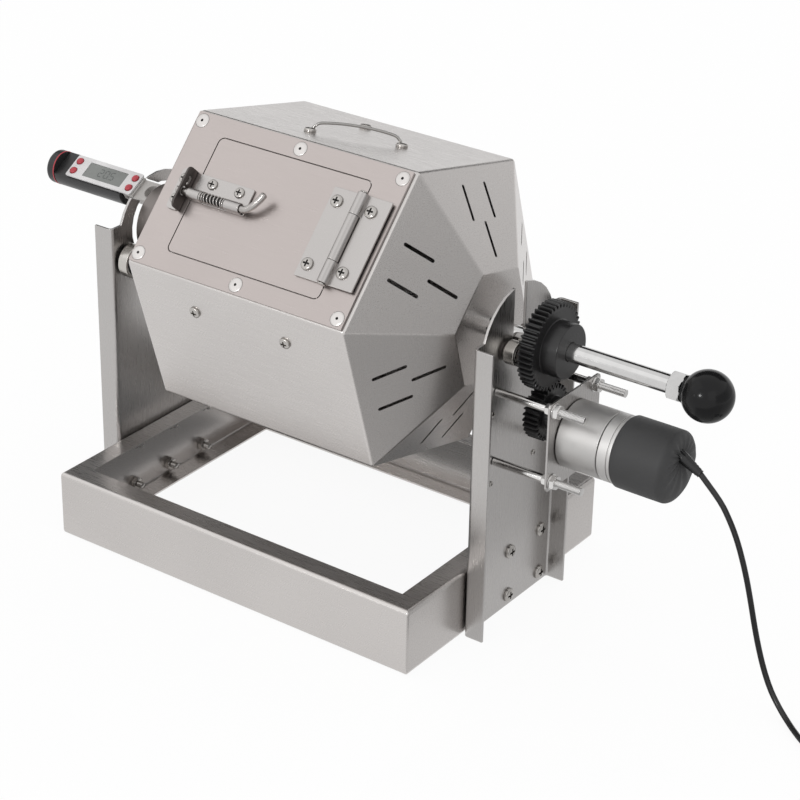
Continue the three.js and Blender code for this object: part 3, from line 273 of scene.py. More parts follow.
def pressed(outlines, low, high, ease=0.25):
    """A flat sheet between two heights: its first outline is the edge and the others are holes. Each wall runs
    low, up and in over a quarter circle in two steps, and the flat sides are filled with triangles."""
    outlines = [np.asarray(o, float) for o in outlines]
    bend = [(1.0, 0.0), (0.29, 0.29), (0.0, 1.0)]
    levels = [(a, low + b * ease) for a, b in bend] + [(a, high - b * ease) for a, b in bend[::-1]]
    rings = [
        np.stack([np.column_stack([shrunk(o, (-ease if k else ease) * a), np.full(len(o), z)]) for a, z in levels])
        for k, o in enumerate(outlines)
    ]
    parts, start, ends = [], 0, []
    for ring in rings:
        points, faces = skin(ring)
        parts.append((points, faces[:-2]))
        rows, cols = ring.shape[:2]
        ends.append((start, start + (rows - 1) * cols, cols))
        start += rows * cols
    points, faces = together(parts)
    for which, row in ((0, 0), (1, -1)):
        loops = [[Vector(p) for p in ring[row]] for ring in rings]
        index = np.concatenate([np.arange(e[2]) + e[which] for e in ends])
        faces += [[int(index[i]) for i in t] for t in tessellate_polygon(loops)]
    return points, faces


def slab(length, width, corner, low, high, ease, x=0.0, y=0.0, steps=4):
    """A rectangular sheet with round corners, between two heights."""
    return pressed([rounded(length, width, corner, steps, x, y)], low, high, ease)


def object_of(name, shape):
    """A plain object in metres with the shape's faces turned outwards and its doubled points merged."""
    mesh = bpy.data.meshes.new(name)
    mesh.from_pydata((shape[0] * MM).tolist(), [], shape[1])
    work = bmesh.new()
    work.from_mesh(mesh)
    bmesh.ops.remove_doubles(work, verts=work.verts, dist=1e-6)
    bmesh.ops.dissolve_degenerate(work, edges=work.edges, dist=1e-6)
    bmesh.ops.recalc_face_normals(work, faces=work.faces)
    work.to_mesh(mesh)
    work.free()
    made = bpy.data.objects.new(name, mesh)
    bpy.context.scene.collection.objects.link(made)
    return made


def shape_of(obj):
    """The points and faces of an object as its modifiers leave it."""
    graph = bpy.context.evaluated_depsgraph_get()
    mesh = bpy.data.meshes.new_from_object(obj.evaluated_get(graph))
    points = np.zeros(len(mesh.vertices) * 3)
    mesh.vertices.foreach_get("co", points)
    faces = [list(p.vertices) for p in mesh.polygons]
    bpy.data.meshes.remove(mesh)
    return points.reshape(-1, 3) / MM, faces


def carved(shape, cutter):
    """The shape with another one cut out of it."""
    body, tool = object_of("carved", shape), object_of("cutter", cutter)
    cut = body.modifiers.new("cut", "BOOLEAN")
    cut.object, cut.operation, cut.solver = tool, "DIFFERENCE", "EXACT"
    result = shape_of(body)
    for used in (body, tool):
        mesh = used.data
        bpy.data.objects.remove(used)
        bpy.data.meshes.remove(mesh)
    return result


SLOTS, FINISHES = {}, {}


def weighed(made):
    """Makes the flat sides of a piece weigh most in its normals."""
    flats = made.modifiers.new("flats", "WEIGHTED_NORMAL")
    flats.keep_sharp = True


def piece(name, shape, body, look, replaces=(), sharp=38, matrix=None):
    """Adds a shape as a piece that rides on a body, shaded smooth between its sharp edges."""
    made = object_of(name, shape if matrix is None else placed(shape, matrix))
    made.data.shade_smooth()
    made.data.set_sharp_from_angle(angle=math.radians(sharp))
    if body:
        weighed(made)
    return dressed(made, body, look, replaces)


def dressed(made, body, look, replaces=()):
    """Gives a piece its material, body and the solids that it stands for.

    A piece without a body is left without a parent.
    """
    finish = finishes()[look]
    made.data.materials.clear()
    made.data.materials.append(finish)
    if body:
        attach(made, body)
    if replaces:
        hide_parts(*replaces)
    return made


def softened(node, body, look, width, limit=50):
    """A merged copy of a solid whose sharp edges are bevelled. It takes the solid's place."""
    made = bpy.data.objects.new(node + "_dressed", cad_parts[node].data.copy())
    bpy.context.scene.collection.objects.link(made)
    work = bmesh.new()
    work.from_mesh(made.data)
    bmesh.ops.remove_doubles(work, verts=work.verts, dist=1e-6)
    bmesh.ops.dissolve_limit(work, angle_limit=math.radians(0.5), verts=work.verts, edges=work.edges)
    work.to_mesh(made.data)
    work.free()
    made.data.shade_smooth()
    made.data.set_sharp_from_angle(angle=math.radians(limit))
    bevel = made.modifiers.new("edges", "BEVEL")
    bevel.width, bevel.segments = width * MM, 2
    bevel.limit_method, bevel.angle_limit = "ANGLE", math.radians(limit)
    weighed(made)
    return dressed(made, body, look, (node,))


# Fasteners


def cross_bars(arm, width, low, high):
    """The two bars of a cross, between two heights."""
    return [slab(2 * a, 2 * b, 0.2 * b, low, high, 0.02, steps=2) for a, b in ((arm, width), (width, arm))]


def pan_head(radius, height, recess=True):
    """A pan head on the face Z = 0 with a cross recess: its side rises straight and then domes over."""
    a = np.linspace(0, np.pi / 2, 7)
    rim, under = 0.45 * height, 0.93 * radius
    dome = np.stack([rim + (height - rim) * np.sin(a), radius * (0.25 + 0.75 * np.cos(a))], -1)
    foot = [(-0.2, 0), (-0.2, under), (0.12, under), (0.25, radius)]
    head = placed(turned(np.concatenate([foot, dome, [(height, 0)]]), 32), UPRIGHT)
    if recess:
        for cutter in cross_bars(0.58 * radius, 0.15 * radius, 0.2 * height, height + 1):
            head = carved(head, cutter)
    return head


def cross_head(radius, height):
    """A pan head, and a dark piece on the floor of its cross recess: painted shade."""
    floor = cross_bars(0.57 * radius, 0.145 * radius, 0.2 * height - 0.05, 0.2 * height + 0.1)
    return pan_head(radius, height), together(floor)


def cross_screws(group, ending, head, places, matrix, body, floor="recess"):
    """Pan screws at places in a frame's plane, and dark floors in their recesses, painted shade, as a second piece."""
    piece(group + "_screws" + ending, at_places(head[0], places, matrix), body, "screw")
    piece(group + "_cross_shade" + ending, at_places(head[1], places, matrix), body, floor)


def socket_flat(radius):
    """A countersunk head in its hole, a little domed above the sheet, with a six-sided socket."""
    profile = [(-1.4, 0), (-1.4, radius), (0, radius), (0.16, 0.95 * radius)]
    profile += [(0.34, 0.75 * radius), (0.42, 0.45 * radius), (0.42, 0)]
    socket = bar(-1.1, 1, radius=0.22 * radius, ease=0.01, sides=6)
    return placed(carved(turned(profile, 36), socket), UPRIGHT)


def hex_piece(x0, x1, flats, bore=0.0, sides=72):
    """A six-sided nut about the X axis. Its radius is the smaller of the hexagon's, half the flats over the
    cosine of the angle from the flat's middle, and a cone's that takes its corners off at both ends."""
    a = around(sides)
    hexagon = flats / 2 / np.cos((a + np.pi / 6) % (np.pi / 3) - np.pi / 6)
    rise = flats / 12 * np.array([(0, 0), (0.25, 0.5), (0.55, 0.9), (1.2, 3)])
    x = np.concatenate([x0 + rise[:, 0], x1 - rise[::-1, 0]])
    cone = flats / 2 * 0.97 + np.concatenate([rise[:, 1], rise[::-1, 1]])
    r = np.minimum(hexagon, cone[:, None])
    if bore:
        x, r = np.concatenate([x, [x1, x0]]), np.concatenate([r, np.full((2, sides), bore)])
    else:
        x, r = np.concatenate([[x0], x, [x1]]), np.pad(r, ((1, 1), (0, 0)))
    return skin(about_x(x, r * heading(a).T[:, None]), bool(bore))


def threaded(x0, x1, radius, pitch, sides=20):
    """A threaded bar about the X axis: its radius goes up and down once each pitch."""
    turns = max(2, round((x1 - x0) / pitch))
    x = np.linspace(x0, x1, 4 * turns + 1)
    r = radius - 0.12 * pitch * (1 - np.cos(2 * np.pi * turns * (x - x0) / (x1 - x0)))
    tip = x1 + 0.3 * pitch
    return turned(np.concatenate([[(x0, 0)], np.stack([x, r], -1), [(tip, 0.7 * radius), (tip, 0)]]), sides)


def at_places(shape, places, matrix):
    """Copies of a shape at places in a frame's plane."""
    return together([placed(shape, matrix @ at(x, y)) for x, y in places])


# Finishes


def fed(tree, made, values):
    """Sets a shader node's inputs by name or number. Another node's output is joined, anything else is a value."""
    for entry, value in values.items():
        if isinstance(value, bpy.types.NodeSocket):
            tree.links.new(value, made.inputs[entry])
        else:
            made.inputs[entry].default_value = value
    return made


def added(tree, kind, values, **settings):
    """A new shader node with its settings and inputs."""
    made = tree.nodes.new("ShaderNode" + kind)
    for name, value in settings.items():
        setattr(made, name, value)
    return fed(tree, made, values)


def new_material(name):
    """An empty material with nodes, and its node tree."""
    made = bpy.data.materials.new(name)
    made.use_nodes = True
    return made, made.node_tree


def new_finish(name, slot, colour, metallic, roughness):
    """A material with its shader and Object coordinates: the mean colour is on the shader until a node is joined."""
    made, tree = new_material(name)
    look = {"Base Color": (*colour, 1), "Metallic": metallic, "Roughness": roughness}
    shader = fed(tree, tree.nodes["Principled BSDF"], look)
    made.diffuse_color = (*colour, 1)
    SLOTS[name] = slot
    return made, tree, shader, added(tree, "TexCoord", {}).outputs["Object"]


def noise(tree, place, scale, stretch=(1, 1, 1), detail=4.0, rough=0.5):
    """Noise over the piece's own coordinates, stretched by a scale on each axis."""
    mapping = added(tree, "Mapping", {"Vector": place, "Scale": stretch})
    values = {"Vector": mapping.outputs["Vector"], "Scale": scale, "Detail": detail, "Roughness": rough}
    return added(tree, "TexNoise", values).outputs["Fac"]


def between(tree, value, low, high):
    """Spreads a value from 0.3 to 0.7 over a range."""
    values = {"Value": value, "From Min": 0.3, "From Max": 0.7, "To Min": low, "To Max": high}
    return added(tree, "MapRange", values).outputs["Result"]


def tinted(tree, value, colour, dark, light):
    """A colour made darker or lighter by a value."""
    made = added(tree, "ValToRGB", {"Fac": value})
    for stop, position, by in zip(made.color_ramp.elements, (0.3, 0.7), (dark, light)):
        stop.position, stop.color = position, (*shade(colour, by), 1)
    return made.outputs["Color"]


def bumped(tree, shader, value, strength, distance):
    """Bump from a value on the shader's normal."""
    made = added(tree, "Bump", {"Strength": strength, "Distance": distance, "Height": value})
    fed(tree, shader, {"Normal": made.outputs["Normal"]})


def shade(colour, by):
    """A colour made lighter or darker."""
    return tuple(min(1.0, c * by) for c in colour)


def sheet_steel(name, slot, colour, roughness, grain):
    """Satin stainless sheet: fine streaks along one axis in bump and roughness, and a faint cloudiness in tone."""
    made, tree, shader, place = new_finish(name, slot, colour, 1.0, roughness)
    stretch = [0.03 if axis == grain else 1 for axis in "XYZ"]
    streaks = noise(tree, place, 2600, stretch, 3.0, 0.6)
    clouds = noise(tree, place, 9, detail=2.0)
    fed(tree, shader, {
        "Roughness": between(tree, streaks, roughness - 0.05, roughness + 0.07),
        "Base Color": tinted(tree, clouds, colour, 0.955, 1.03),
    })
    bumped(tree, shader, streaks, 0.038, 0.00006)
    return made


def polished_metal(name, slot, colour, roughness, marks=0.05):
    """Plated or ground metal: roughness and tone vary with small smudges."""
    made, tree, shader, place = new_finish(name, slot, colour, 1.0, roughness)
    smudges = noise(tree, place, 160, detail=5.0, rough=0.6)
    fed(tree, shader, {
        "Roughness": between(tree, smudges, roughness - marks / 2, roughness + marks),
        "Base Color": tinted(tree, smudges, colour, 0.93, 1.04),
    })
    return made


def moulded(name, slot, colour, roughness, grain=900, depth=0.00004, specular=0.5):
    """Moulded plastic or rubber: fine grain in the bump, with slightly uneven tone and gloss."""
    made, tree, shader, place = new_finish(name, slot, colour, 0.0, roughness)
    fine = noise(tree, place, grain, rough=0.6)
    broad = noise(tree, place, 45, detail=3.0)
    fed(tree, shader, {
        "Specular IOR Level": specular,
        "Roughness": between(tree, broad, roughness - 0.06, roughness + 0.08),
        "Base Color": tinted(tree, broad, colour, 0.88, 1.12),
    })
    bumped(tree, shader, fine, 0.25, depth)
    return made


def finishes():
    """Makes every finish once, from the colours in the settings."""
    if FINISHES:
        return FINISHES
    look = bpy.context.scene.roaster_finish
    steel, gloss = tuple(look.steel), look.steel_roughness
    makers = {
        sheet_steel: (
            ("sheet_x", "steel_sheet_lengthways", "brushed_steel", steel, gloss, "X"),
            ("sheet_z", "steel_sheet_upright", "brushed_steel", tuple(look.upright), gloss, "Z"),
            ("base", "steel_sheet_base", "brushed_steel", tuple(look.base), gloss, "X"),
            # The door's darker tone is partly its own pinkish tint and partly painted shade against the lamp's
            # reflection.
            ("door", "steel_sheet_door", "brushed_steel", tuple(look.door), gloss + 0.03, "X"),
            # A darker copy of the sheet steel: painted shade that tones down the bright reflection on the hinge and
            # latch parts.
            ("leaf", "steel_hinge", "bright_steel", shade(steel, 0.77), gloss + 0.02, "Y"),
        ),
        polished_metal: (
            ("shaft", "shaft_steel", "bright_steel", (0.6, 0.595, 0.59), 0.11),
            ("keeper", "keeper_steel", "dark_steel", (0.11, 0.1, 0.095), 0.36, 0.12),
            ("bright", "plated_steel", "bright_steel", (0.71, 0.7, 0.69), 0.16),
            ("screw", "screw_steel", "bright_steel", (0.46, 0.44, 0.42), 0.2),
            ("flat", "flat_screw_steel", "bright_steel", (0.64, 0.615, 0.6), 0.3),
            ("wire", "wire_steel", "bright_steel", (0.34, 0.33, 0.32), 0.2),
            ("bolt", "bolt_steel", "bright_steel", (0.42, 0.4, 0.385), 0.2),
            # Dark steel. It also serves as painted shade on the foot screws' recess floors.
            ("dull", "worn_steel", "dark_steel", (0.22, 0.2, 0.19), 0.34, 0.12),
            ("bearing", "ground_steel", "bearing_steel", (0.55, 0.53, 0.5), 0.24),
            ("alloy", "cast_alloy", "cast_alloy", (0.52, 0.51, 0.5), 0.42, 0.12),
            ("can", "motor_casing", "bright_steel", (0.6, 0.59, 0.58), 0.42, 0.1),
        ),
        moulded: (
            # Near-black painted shade: the floors of screw recesses and sockets, the gap under the hinge's frame leaf
            # and the latch rod inside its spring.
            ("recess", "screw_recess", "bright_steel", (0.02, 0.019, 0.018), 0.5),
            ("nylon", "black_nylon", "black_nylon", tuple(look.gear), 0.3, 500),
            ("gloss", "black_phenolic", "black_gloss", tuple(look.knob), 0.15, 1200, 0.00001, 0.2),
            ("rubber", "soft_rubber", "black_rubber", tuple(look.boot), 0.56, 800, 0.00006, 0.4),
            ("cord", "cord_rubber", "black_rubber", (0.008, 0.008, 0.0085), 0.28),
            ("handle", "thermometer_black", "black_nylon", (0.02, 0.02, 0.021), 0.36, 700),
            ("red", "red_silicone", "red_rubber", tuple(look.button), 0.4),
            ("face", "face_white", "white_face", (0.77, 0.76, 0.76), 0.35, 1200, 0.00001),
            ("tab", "tab_grey", "bright_steel", (0.5, 0.48, 0.46), 0.38, 1200, 0.00001),
            ("screen", "display_glass", "white_face", (0.225, 0.235, 0.225), 0.2, 300, 0.000005),
            ("digit", "display_digit", "white_face", (0.09, 0.1, 0.095), 0.3, 300, 0.000005),
            ("dark", "dark_recess", "black_nylon", (0.012, 0.012, 0.012), 0.6),
        ),
    }
    for maker, rows in makers.items():
        for key, *settings in rows:
            FINISHES[key] = maker(*settings)
    return FINISHES


# Settings

COLOUR = {"subtype": "COLOR", "size": 3, "min": 0, "max": 1}


class RoasterFinish(PropertyGroup):
    steel: FloatVectorProperty(
        name="Steel", description="Tone of the stainless sheet", default=(0.6, 0.575, 0.56), **COLOUR
    )
    upright: FloatVectorProperty(
        name="Uprights", description="Tone of the two uprights", default=(0.485, 0.47, 0.46), **COLOUR
    )
    base: FloatVectorProperty(
        name="Base frame", description="Tone of the base frame", default=(0.57, 0.545, 0.53), **COLOUR
    )
    steel_roughness: FloatProperty(
        name="Steel roughness", description="How matt the stainless sheet is", default=0.29, min=0.05, max=0.9
    )
    # Darker than the drum's steel: partly the door sheet's own pinkish tint, partly painted shade against the key
    # lamp's bright reflection.
    door: FloatVectorProperty(
        name="Door", description="Tone of the door and its frame plate", default=(0.457, 0.412, 0.397), **COLOUR
    )
    gear: FloatVectorProperty(
        name="Gears", description="Colour of the nylon gears", default=(0.011, 0.0105, 0.011), **COLOUR
    )
    knob: FloatVectorProperty(
        name="Knob", description="Colour of the ball knob", default=(0.01, 0.01, 0.0105), **COLOUR
    )
    boot: FloatVectorProperty(
        name="Boot", description="Colour of the motor's rubber boot", default=(0.05, 0.05, 0.051), **COLOUR
    )
    button: FloatVectorProperty(
        name="Buttons", description="Colour of the thermometer's buttons", default=(0.52, 0.05, 0.07), **COLOUR
    )


class RoasterSheet(PropertyGroup):
    base_bend: FloatProperty(
        name="Base bend", description="Outer radius of the base frame's folds",
        default=2.6 * MM, min=0.5 * MM, max=6 * MM, unit="LENGTH",
    )
    base_corner: FloatProperty(
        name="Base corner", description="Radius of the base frame's upright edges",
        default=1.4 * MM, min=0.3 * MM, max=6 * MM, unit="LENGTH",
    )
    fold: FloatProperty(
        name="Drum fold", description="Outer radius of the drum's folded edges",
        default=2.2 * MM, min=0.5 * MM, max=6 * MM, unit="LENGTH",
    )
    edge: FloatProperty(
        name="Cut edge", description="Softness of cut sheet edges",
        default=0.22 * MM, min=0.02 * MM, max=0.6 * MM, unit="LENGTH",
    )


class RoasterFasteners(PropertyGroup):
    foot_head: FloatProperty(
        name="Foot screw head", description="Radius of the foot screws' heads",
        default=3.9 * MM, min=2 * MM, max=6 * MM, unit="LENGTH",
    )
    plate_head: FloatProperty(
        name="Plate screw head", description="Radius of the door frame plate's screw heads",
        default=3.9 * MM, min=2 * MM, max=6 * MM, unit="LENGTH",
    )
    small_head: FloatProperty(
        name="Small screw head", description="Radius of the latch screw heads",
        default=2.9 * MM, min=1 * MM, max=5 * MM, unit="LENGTH",
    )
    hinge_head: FloatProperty(
        name="Hinge screw head", description="Radius of the hinge screw heads",
        default=3.4 * MM, min=1 * MM, max=5 * MM, unit="LENGTH",
    )


class RoasterDrive(PropertyGroup):
    gear_teeth: IntProperty(name="Gear teeth", description="Teeth of the gear on the drum's shaft", default=45, min=12)
    pinion_teeth: IntProperty(name="Pinion teeth", description="Teeth of the motor's pinion", default=29, min=12)
    fold_depth: FloatProperty(
        name="Boot folds", description="Depth of the folds in the boot's end",
        default=0.9 * MM, min=0, max=2 * MM, unit="LENGTH",
    )


class RoasterLead(PropertyGroup):
    radius: FloatProperty(
        name="Lead radius", description="Radius of the mains lead",
        default=1.5 * MM, min=1 * MM, max=4 * MM, unit="LENGTH",
    )
    sides: IntProperty(name="Lead sides", description="Points round the lead's section", default=16, min=8, max=48)


class RoasterStage(PropertyGroup):
    lamp: FloatProperty(name="Key lamp", description="Power of the main softbox", default=1.6, min=0, unit="POWER")
    fill: FloatProperty(name="Fill lamp", description="Power of the fill softbox", default=1.0, min=0, unit="POWER")
    spark: FloatProperty(
        name="Small lamp", description="Power of the lamp that shines on glossy parts",
        default=4.5, min=0, unit="POWER",
    )
    streak: FloatProperty(
        name="Streak lamp", description="Power of the lamp that draws a line on round bars",
        default=0.3, min=0, unit="POWER",
    )
    world: FloatProperty(name="World light", description="Strength of the light all round", default=0.85, min=0)
    card: FloatProperty(name="Grey card", description="Brightness of the cards in reflections", default=0.57, min=0)


# Stand


def base_frame(sheet):
    """The welded base frame: a folded channel's section, open to the inside, carried round a rectangle. At each
    corner, points nearer the outside than the corner's radius go round an arc and the others meet in a mitre."""
    low, high = box("base_front_rail")
    half = np.array(((high.x - low.x) / 2, span("base_back_rail", 1)[1]))
    height, lip, t, r, corner = high.z, 13, SHEET, sheet.base_bend / MM, sheet.base_corner / MM
    fine = 0.2
    corners = [(lip, 0), (lip, t), (t, t), (t, height - t), (lip, height - t), (lip, height), (0, height), (0, 0)]
    inwards, up = eased(corners, [fine, fine, r - t, r - t, fine, fine, r, r], 5, True).T
    quarter = np.arange(4) * np.pi / 2
    angle = (quarter[:, None] + np.linspace(0, np.pi / 2, 6)).reshape(-1)
    signs = np.repeat(np.sign(heading(quarter + np.pi / 4)), 6, 0)
    arc = np.maximum(corner - inwards, 0)[None, :, None]
    mitre = np.maximum(inwards - corner, 0)[None, :, None]
    flat = (signs * (half - corner))[:, None] + heading(angle)[:, None] * arc - signs[:, None] * mitre
    grid = np.concatenate([flat, np.broadcast_to(up[None, :, None], (*flat.shape[:2], 1))], -1)
    return moved(skin(grid, True), STAND_X)


class ROASTER_OT_stand(Operator):
    """Build the base frame, the two uprights and their foot screws"""

    bl_idname = "roaster.stand"
    bl_label = "Stand"

    def execute(self, context):
        sheet, fasteners = context.scene.roaster_sheet, context.scene.roaster_fasteners
        rails = ("base_front_rail", "base_right_rail", "base_back_rail", "base_left_rail")
        piece("base_frame", base_frame(sheet), "root", "base", rails, 30)
        edge = sheet.edge / MM
        for node, width in (("left_upright", edge), ("right_upright", edge), ("thermometer_bracket", 0.1)):
            softened(node, "root", "sheet_z", width)
        head = cross_head(fasteners.foot_head / MM, height=2.1)
        nut = together([hex_piece(0.1, 3, flats=7), threaded(2.5, 6.5, radius=1.9, pitch=0.7)])
        places = [(y, z) for y in (-30, 0, 30) for z in (6.5, 33.5)]
        for node, sign, ending in (("right_upright", 1, "_right"), ("left_upright", -1, "_left")):
            outside = span(node)[0 if sign > 0 else 1] + sign * WEB
            out = axes_at((outside, 0, 0), (0, sign, 0), (sign, 0, 0))
            # The foot screws' recess floors are painted shade in the dull steel tone.
            cross_screws("foot", ending, head, [(sign * y, z) for y, z in places], out, "root", "dull")
            inner = STAND_X + sign * (span("base_front_rail")[1] - STAND_X - SHEET)
            inwards = at(inner) @ Matrix.Rotation(math.pi if sign > 0 else 0, 4, "Z")
            nuts = together([moved(nut, 0, y, z) for y, z in places])
            piece("foot_nuts" + ending, nuts, "root", "screw", matrix=inwards)
        web = axes_at((span("right_upright")[0] + WEB, 0, 0), (0, 1, 0), (1, 0, 0))
        spots = [(-22, 125), (18.7, 85.7), (-21.3, 84)]
        piece("web_screws", at_places(pan_head(radius=1.6, height=0.8), spots, web), "root", "screw")
        return {"FINISHED"}


# Drum


def hex_grid(places, apothems, corners, steps=5):
    """Rows of a six-sided section with round corners. On each sixth, a flat stretch runs from end to end and an arc
    turns sixty degrees about a centre on the corner's line. A row with a negative corner is a circle instead, whose
    points have the angles of a section with small corners."""
    a = DOOR_TURN + math.pi / 2 + SIXTH * np.arange(6)
    rows = []
    for x, apothem, corner in zip(places, apothems, corners):
        c = corner if corner >= 0 else 0.1 * apothem
        half = (apothem - c) * math.tan(SIXTH / 2) * np.array([-1, 1])
        flats = heading(a)[:, None] * apothem + heading(a + math.pi / 2)[:, None] * half[None, :, None]
        hub = (apothem - c) / math.cos(SIXTH / 2) * heading(a + SIXTH / 2)
        arcs = hub[:, None] + c * heading(a[:, None] + np.linspace(0, SIXTH, steps + 1)[1:-1])
        ring = np.concatenate([flats, arcs], 1).reshape(-1, 2)
        if corner < 0:
            ring *= apothem / np.linalg.norm(ring, axis=1)[:, None]
        rows.append(np.column_stack([np.full(len(ring), x), ring]))
    return np.stack(rows)


def drum_body(sheet):
    """The drum's shell and its two tapered ends as one sheet: an outer and an inner run of sections, joined at the
    round holes for the neck and the shaft. The fold between shell and taper is an arc."""
    left, right = span("drum_left_end")[0], span("drum_right_end")[1]
    rim_left, rim_right = np.array(span("drum_shell")) + (-0.3, 0.3)
    wide, end, neck, shaft, t, r = HEX_APOTHEM, END_APOTHEM, 21.8, 5.6, SHEET, sheet.fold / MM
    slope = math.atan2(wide - end, right - rim_right)
    dx, dy = t / math.sin(slope), t * math.tan(slope / 2)
    low = end + (dx - t) * math.tan(slope)
    outside = [(left, neck), (left, end), (rim_left, wide), (rim_right, wide), (right, end), (right, shaft)]
    inside = [(right - t, shaft), (right - t, low), (rim_right - dy, wide - t)]
    inside += [(rim_left + dy, wide - t), (left + t, low), (left + t, neck)]
    runs, corners = [], []
    for line, foot, fold, steps in ((outside, 1.5, r, 5), (inside, 0.5, r - t, 3)):
        run = eased(line, [0, foot, fold, fold, foot, 0], steps)
        runs.append(run)
        corners.append(np.where(np.arange(len(run)) % (len(run) - 1) == 0, -1, fold))
    grid = hex_grid(*np.concatenate(runs).T, np.concatenate(corners))
    body = moved(skin(grid, True), z=AXIS_Z)
    mouth = slab(length=89, width=57, corner=6, low=-6, high=6, ease=0.01)
    body = carved(body, placed(mouth, face_axes(0)))
    slot_length = 19.5
    slot = slab(slot_length, width=2, corner=0.98, low=-5, high=5, ease=0.01, steps=5)
    cutters = []
    for step in range(6):
        for aside, inwards in ((-10, 0), (10, 0), (0, 20.3)):
            reach = (9.5 + inwards + slot_length / 2) / math.hypot(right - rim_right, wide - end)
            for rim, sign in ((rim_right, 1), (rim_left, -1)):
                cutters.append(placed(slot, (
                    at(rim + sign * reach * (right - rim_right), 0, AXIS_Z)
                    @ Matrix.Rotation(DOOR_TURN + step * SIXTH, 4, "X")
                    @ at(0, aside, wide - reach * (wide - end))
                    @ Matrix.Rotation(sign * slope, 4, "Y")
                )))
    return carved(body, together(cutters))


class ROASTER_OT_drum(Operator):
    """Build the drum's folded body with its slots, its neck and its vanes"""

    bl_idname = "roaster.drum"
    bl_label = "Drum"

    def execute(self, context):
        shells = ("drum_shell", "drum_left_end", "drum_right_end")
        piece("drum_body", drum_body(context.scene.roaster_sheet), "drum", "sheet_x", shells, 32)
        neck = moved(tube(*span("drum_neck"), outer=21.5, inner=20, ease=0.4, sides=96), z=AXIS_Z)
        piece("drum_neck_tube", neck, "drum", "dull", ("drum_neck",))
        for i in (1, 2, 3):
            softened("vane_" + str(i), "drum", "sheet_x", 0.2)
        head, spots = pan_head(radius=3.2, height=1.7), [(-29.8, 24.7), (29.4, 24.7)]
        for step in (1, 3):
            piece("vane_screws_" + str(step), at_places(head, spots, face_axes(step)), "drum", "screw")
        return {"FINISHED"}


# Door, hinge, latch and bow


class ROASTER_OT_door(Operator):
    """Build the door, its frame plate and the hinge with their screws"""

    bl_idname = "roaster.door"
    bl_label = "Door and hinge"

    def execute(self, context):
        fasteners, edge = context.scene.roaster_fasteners, context.scene.roaster_sheet.edge / MM
        face, top = face_axes(0), face_axes(0, DOOR_SURFACE)
        door, flush = size_x("door_panel"), fasteners.plate_head / MM
        spots = [(x, y) for x in (-65, 0, 64.5) for y in (-39, 39)]
        bores = [ring_of(flush + 0.08, 40) + np.array(spot) for spot in spots]
        outlines = [rounded(size_x("door_frame_plate"), 88, 0.8, 3), rounded(door + 1, 67, 3.5), *bores]
        plate = pressed(outlines, LOW, DOOR_SURFACE, edge)
        piece("door_plate", plate, "drum", "door", ("door_frame_plate",), matrix=face)
        panel = slab(door, 66, 3, LOW, DOOR_SURFACE, edge, steps=6)
        piece("door_sheet", panel, "door", "door", ("door_panel",), matrix=face)
        piece("plate_screws", at_places(socket_flat(flush), spots, top), "drum", "flat")
        # A dark hexagon on each socket's floor: painted shade.
        floor = placed(bar(-1.15, -0.9, radius=0.21 * flush, ease=0.01, sides=6), UPRIGHT)
        piece("plate_socket_shade", at_places(floor, spots, top), "drum", "recess")
        self.hinge(door / 2 + 0.5, top, edge)
        head = cross_head(fasteners.hinge_head / MM, height=1.6)
        for ending, body, x, y, leaf in (
            ("_door", "door", 35.5, 17.7, DOOR_LEAF),
            ("_frame", "drum", 57.5, 17, FRAME_LEAF),
        ):
            cross_screws("hinge", ending, head, [(x, -y), (x, y)], face_axes(0, DOOR_SURFACE + leaf[1]), body)
        return {"FINISHED"}

    def hinge(self, x, top, edge):
        """Two leaves of unlike height and three knuckles on a pin with caps. A near-black packing under the frame's
        leaf is painted shadow in the gap beneath it.
        """
        r, pin, half, mid, gap = 3, 1.3, 25, 12.7, 0.15
        frame_x = x + 10.4
        # Painted shadow: a near-black packing fills the gap under the frame's leaf.
        spacer = slab(12.4, 2 * half - 1.8, 0.6, LOW, 1.1, 0.1, frame_x, steps=2)
        piece("hinge_leaf_shadow", spacer, "drum", "recess", matrix=top)
        frame_leaf = slab(14.2, 2 * half, 0.6, *FRAME_LEAF, edge, frame_x, steps=2)
        door_leaf = slab(15.7, 2 * half, 0.6, *DOOR_LEAF, edge, x - 11.15, steps=2)
        long, aside = half - mid - gap, (half + mid + gap) / 2
        roots = [slab(2.6, long, 0.3, *FRAME_LEAF, 0.1, x + 3, s * aside, 2) for s in (-1, 1)]
        tongue = slab(2.6, 2 * mid, 0.3, *DOOR_LEAF, 0.1, x - 3, steps=2)
        along = at(x, 0, LOW + r) @ SIDEWAYS
        *ends, centre = (
            placed(tube(y0, y1, r, pin + 0.2, 0.25, 32), along)
            for y0, y1 in ((-half, -mid - gap), (mid + gap, half), (-mid, mid))
        )
        frame_side, door_side = together([frame_leaf, *roots, *ends]), together([door_leaf, tongue, centre])
        piece("hinge_leaf_frame", frame_side, "drum", "leaf", ("hinge_frame_leaf",), matrix=top)
        piece("hinge_leaf_door", door_side, "door", "leaf", ("hinge_door_leaf",), matrix=top)
        caps = [bar(y, y + 0.8, 2.2, 0.3, 24) for y in (-half - 1.1, half + 0.3)]
        rod = together([bar(-half - 1, half + 1, pin, 0.3, 20), *caps])
        piece("hinge_rod", rod, "drum", "screw", ("hinge_pin",), matrix=top @ along)


def coil_spring(x0, x1, mean, wire, curls, steps=24, sides=10):
    """A coil spring about the X axis: x grows evenly with the turns between two close end curls."""
    turn = np.linspace(0, curls, int(curls * steps) + 1)
    rise = np.interp(turn, [0, 0.75, curls - 0.75, curls], [0, wire / 2, x1 - x0 - 1.5 * wire, x1 - x0 - wire])
    outwards = heading(2 * np.pi * turn)
    path = np.column_stack([x0 + wire / 2 + rise, mean * outwards])
    return carried(path, ring_of(wire / 2, sides), np.pad(outwards, ((0, 0), (1, 0))))


